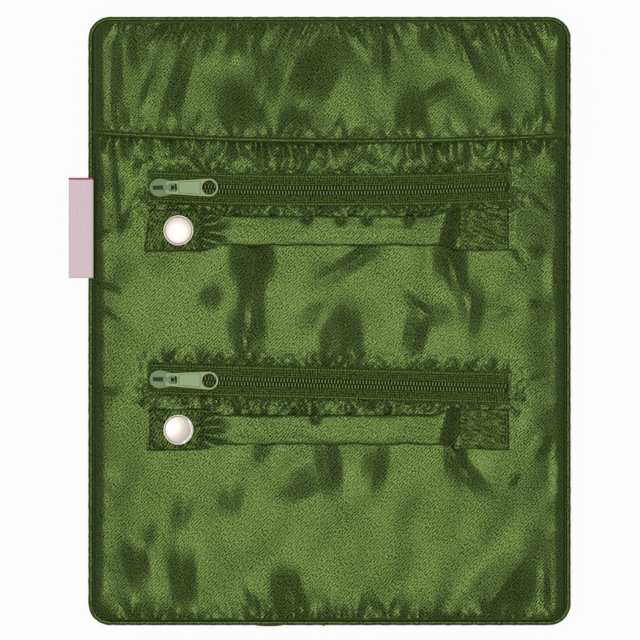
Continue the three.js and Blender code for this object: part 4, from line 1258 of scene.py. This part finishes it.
CAP_TILT = ((0.02, 0.0), (0.14, -0.04))
CAP_DROP = (0.1, 0.6)
CAP_SEAT = 10.15
CAP_CURVE = 0.0205
DOME_RADII = (0, 1.4, 2.8, 4.1, 5.1, 5.6)
DOME_EDGE = 5.65
# Groove and rim round the dome: radius, and height from its top
CAP_RIM = ((5.72, -1.1), (5.82, -1.14), (5.95, -1.04), (6.1, -1.08), (6.25, -1.4))


def snap(k, bar_y):
    low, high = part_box(f"snap_{k + 1}_cap")
    seat, top = low.z / MM, high.z / MM - CAP_DROP[k]
    profile = [(r, top - CAP_CURVE * r**2) for r in DOME_RADII]
    profile += [(r, top + z) for r, z in CAP_RIM]
    profile += [(6.2, CAP_SEAT + 0.15), (6.0, CAP_SEAT), (1.2, CAP_SEAT), (1.2, seat), (0, seat)]
    cap = lathe(f"snap_{k + 1}_dome", profile[::-1], 72, nickel, (SNAP_X, bar_y, 0))
    lean_x, lean_y = CAP_TILT[k]
    for vertex in cap.data.vertices:
        x, y = vertex.co.x - SNAP_X * MM, vertex.co.y - bar_y * MM
        if vertex.co.z > (CAP_SEAT + 0.3) * MM and math.hypot(x, y) < DOME_EDGE * MM:
            vertex.co.z -= lean_x * x + lean_y * y
    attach(cap, f"bar_{k + 1}")
    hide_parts(f"snap_{k + 1}_cap")
    for part in ("socket", "stud", "eyelet"):
        dress(f"snap_{k + 1}_{part}", nickel, 0.12)


lining()
cover()
wadding()
edge_piping()
slip_pocket()
side_label()
zips()
ring_bars()


# Floor, light and camera, in metres

FLOOR_HALF = 3.0
GLOW_SHARE = 0.85
WORLD_LIGHT = 0.35
LIGHT_SIZE = 0.7
LIGHT_POWER = 32
LIGHT_PLACE = (-0.08, -0.03, 2.2)
CAMERA_PLACE = (-3.92 * MM, 0.41 * MM, 1.5)
SENSOR_WIDTH = 36
LENS = 204.2


def floor():
    mesh = bpy.data.meshes.new("floor")
    corners = [(x * FLOOR_HALF, y * FLOOR_HALF, 0) for x, y in ((-1, -1), (1, -1), (1, 1), (-1, 1))]
    mesh.from_pydata(corners, [], [(0, 1, 2, 3)])
    obj = bpy.data.objects.new("floor", mesh)
    bpy.context.scene.collection.objects.link(obj)
    made, tree, shader = graph("floor_white")
    wire(tree, shader, {"Base Color": (0.9, 0.9, 0.9, 1), "Roughness": 0.9})
    glow = add(tree, "Emission", {"Color": (1, 1, 1, 1), "Strength": 1.0}).outputs[0]
    share = calc(tree, "MULTIPLY", seen_directly(tree), GLOW_SHARE)
    mix = add(tree, "MixShader", {0: share, 1: shader.outputs[0], 2: glow}).outputs[0]
    tree.links.new(mix, tree.nodes["Material Output"].inputs["Surface"])
    mesh.materials.append(made)


def lights():
    lamp = bpy.data.lights.new("softbox", "AREA")
    lamp.shape = "SQUARE"
    lamp.size = LIGHT_SIZE
    lamp.energy = LIGHT_POWER
    obj = bpy.data.objects.new("softbox", lamp)
    obj.location = LIGHT_PLACE
    obj.visible_camera = False
    bpy.context.scene.collection.objects.link(obj)
    world = bpy.data.worlds.new("studio")
    world.use_nodes = True
    tree = world.node_tree
    strength = spread(tree, seen_directly(tree), WORLD_LIGHT, 1.0)
    wire(tree, tree.nodes["Background"], {"Color": (1, 1, 1, 1), "Strength": strength})
    bpy.context.scene.world = world


def camera():
    data = bpy.data.cameras.new("camera")
    data.sensor_width = SENSOR_WIDTH
    data.lens = LENS
    data.clip_end = 20
    obj = bpy.data.objects.new("camera", data)
    obj.location = CAMERA_PLACE
    bpy.context.scene.collection.objects.link(obj)
    bpy.context.scene.camera = obj


floor()
lights()
camera()
bpy.context.scene.view_settings.view_transform = "Standard"
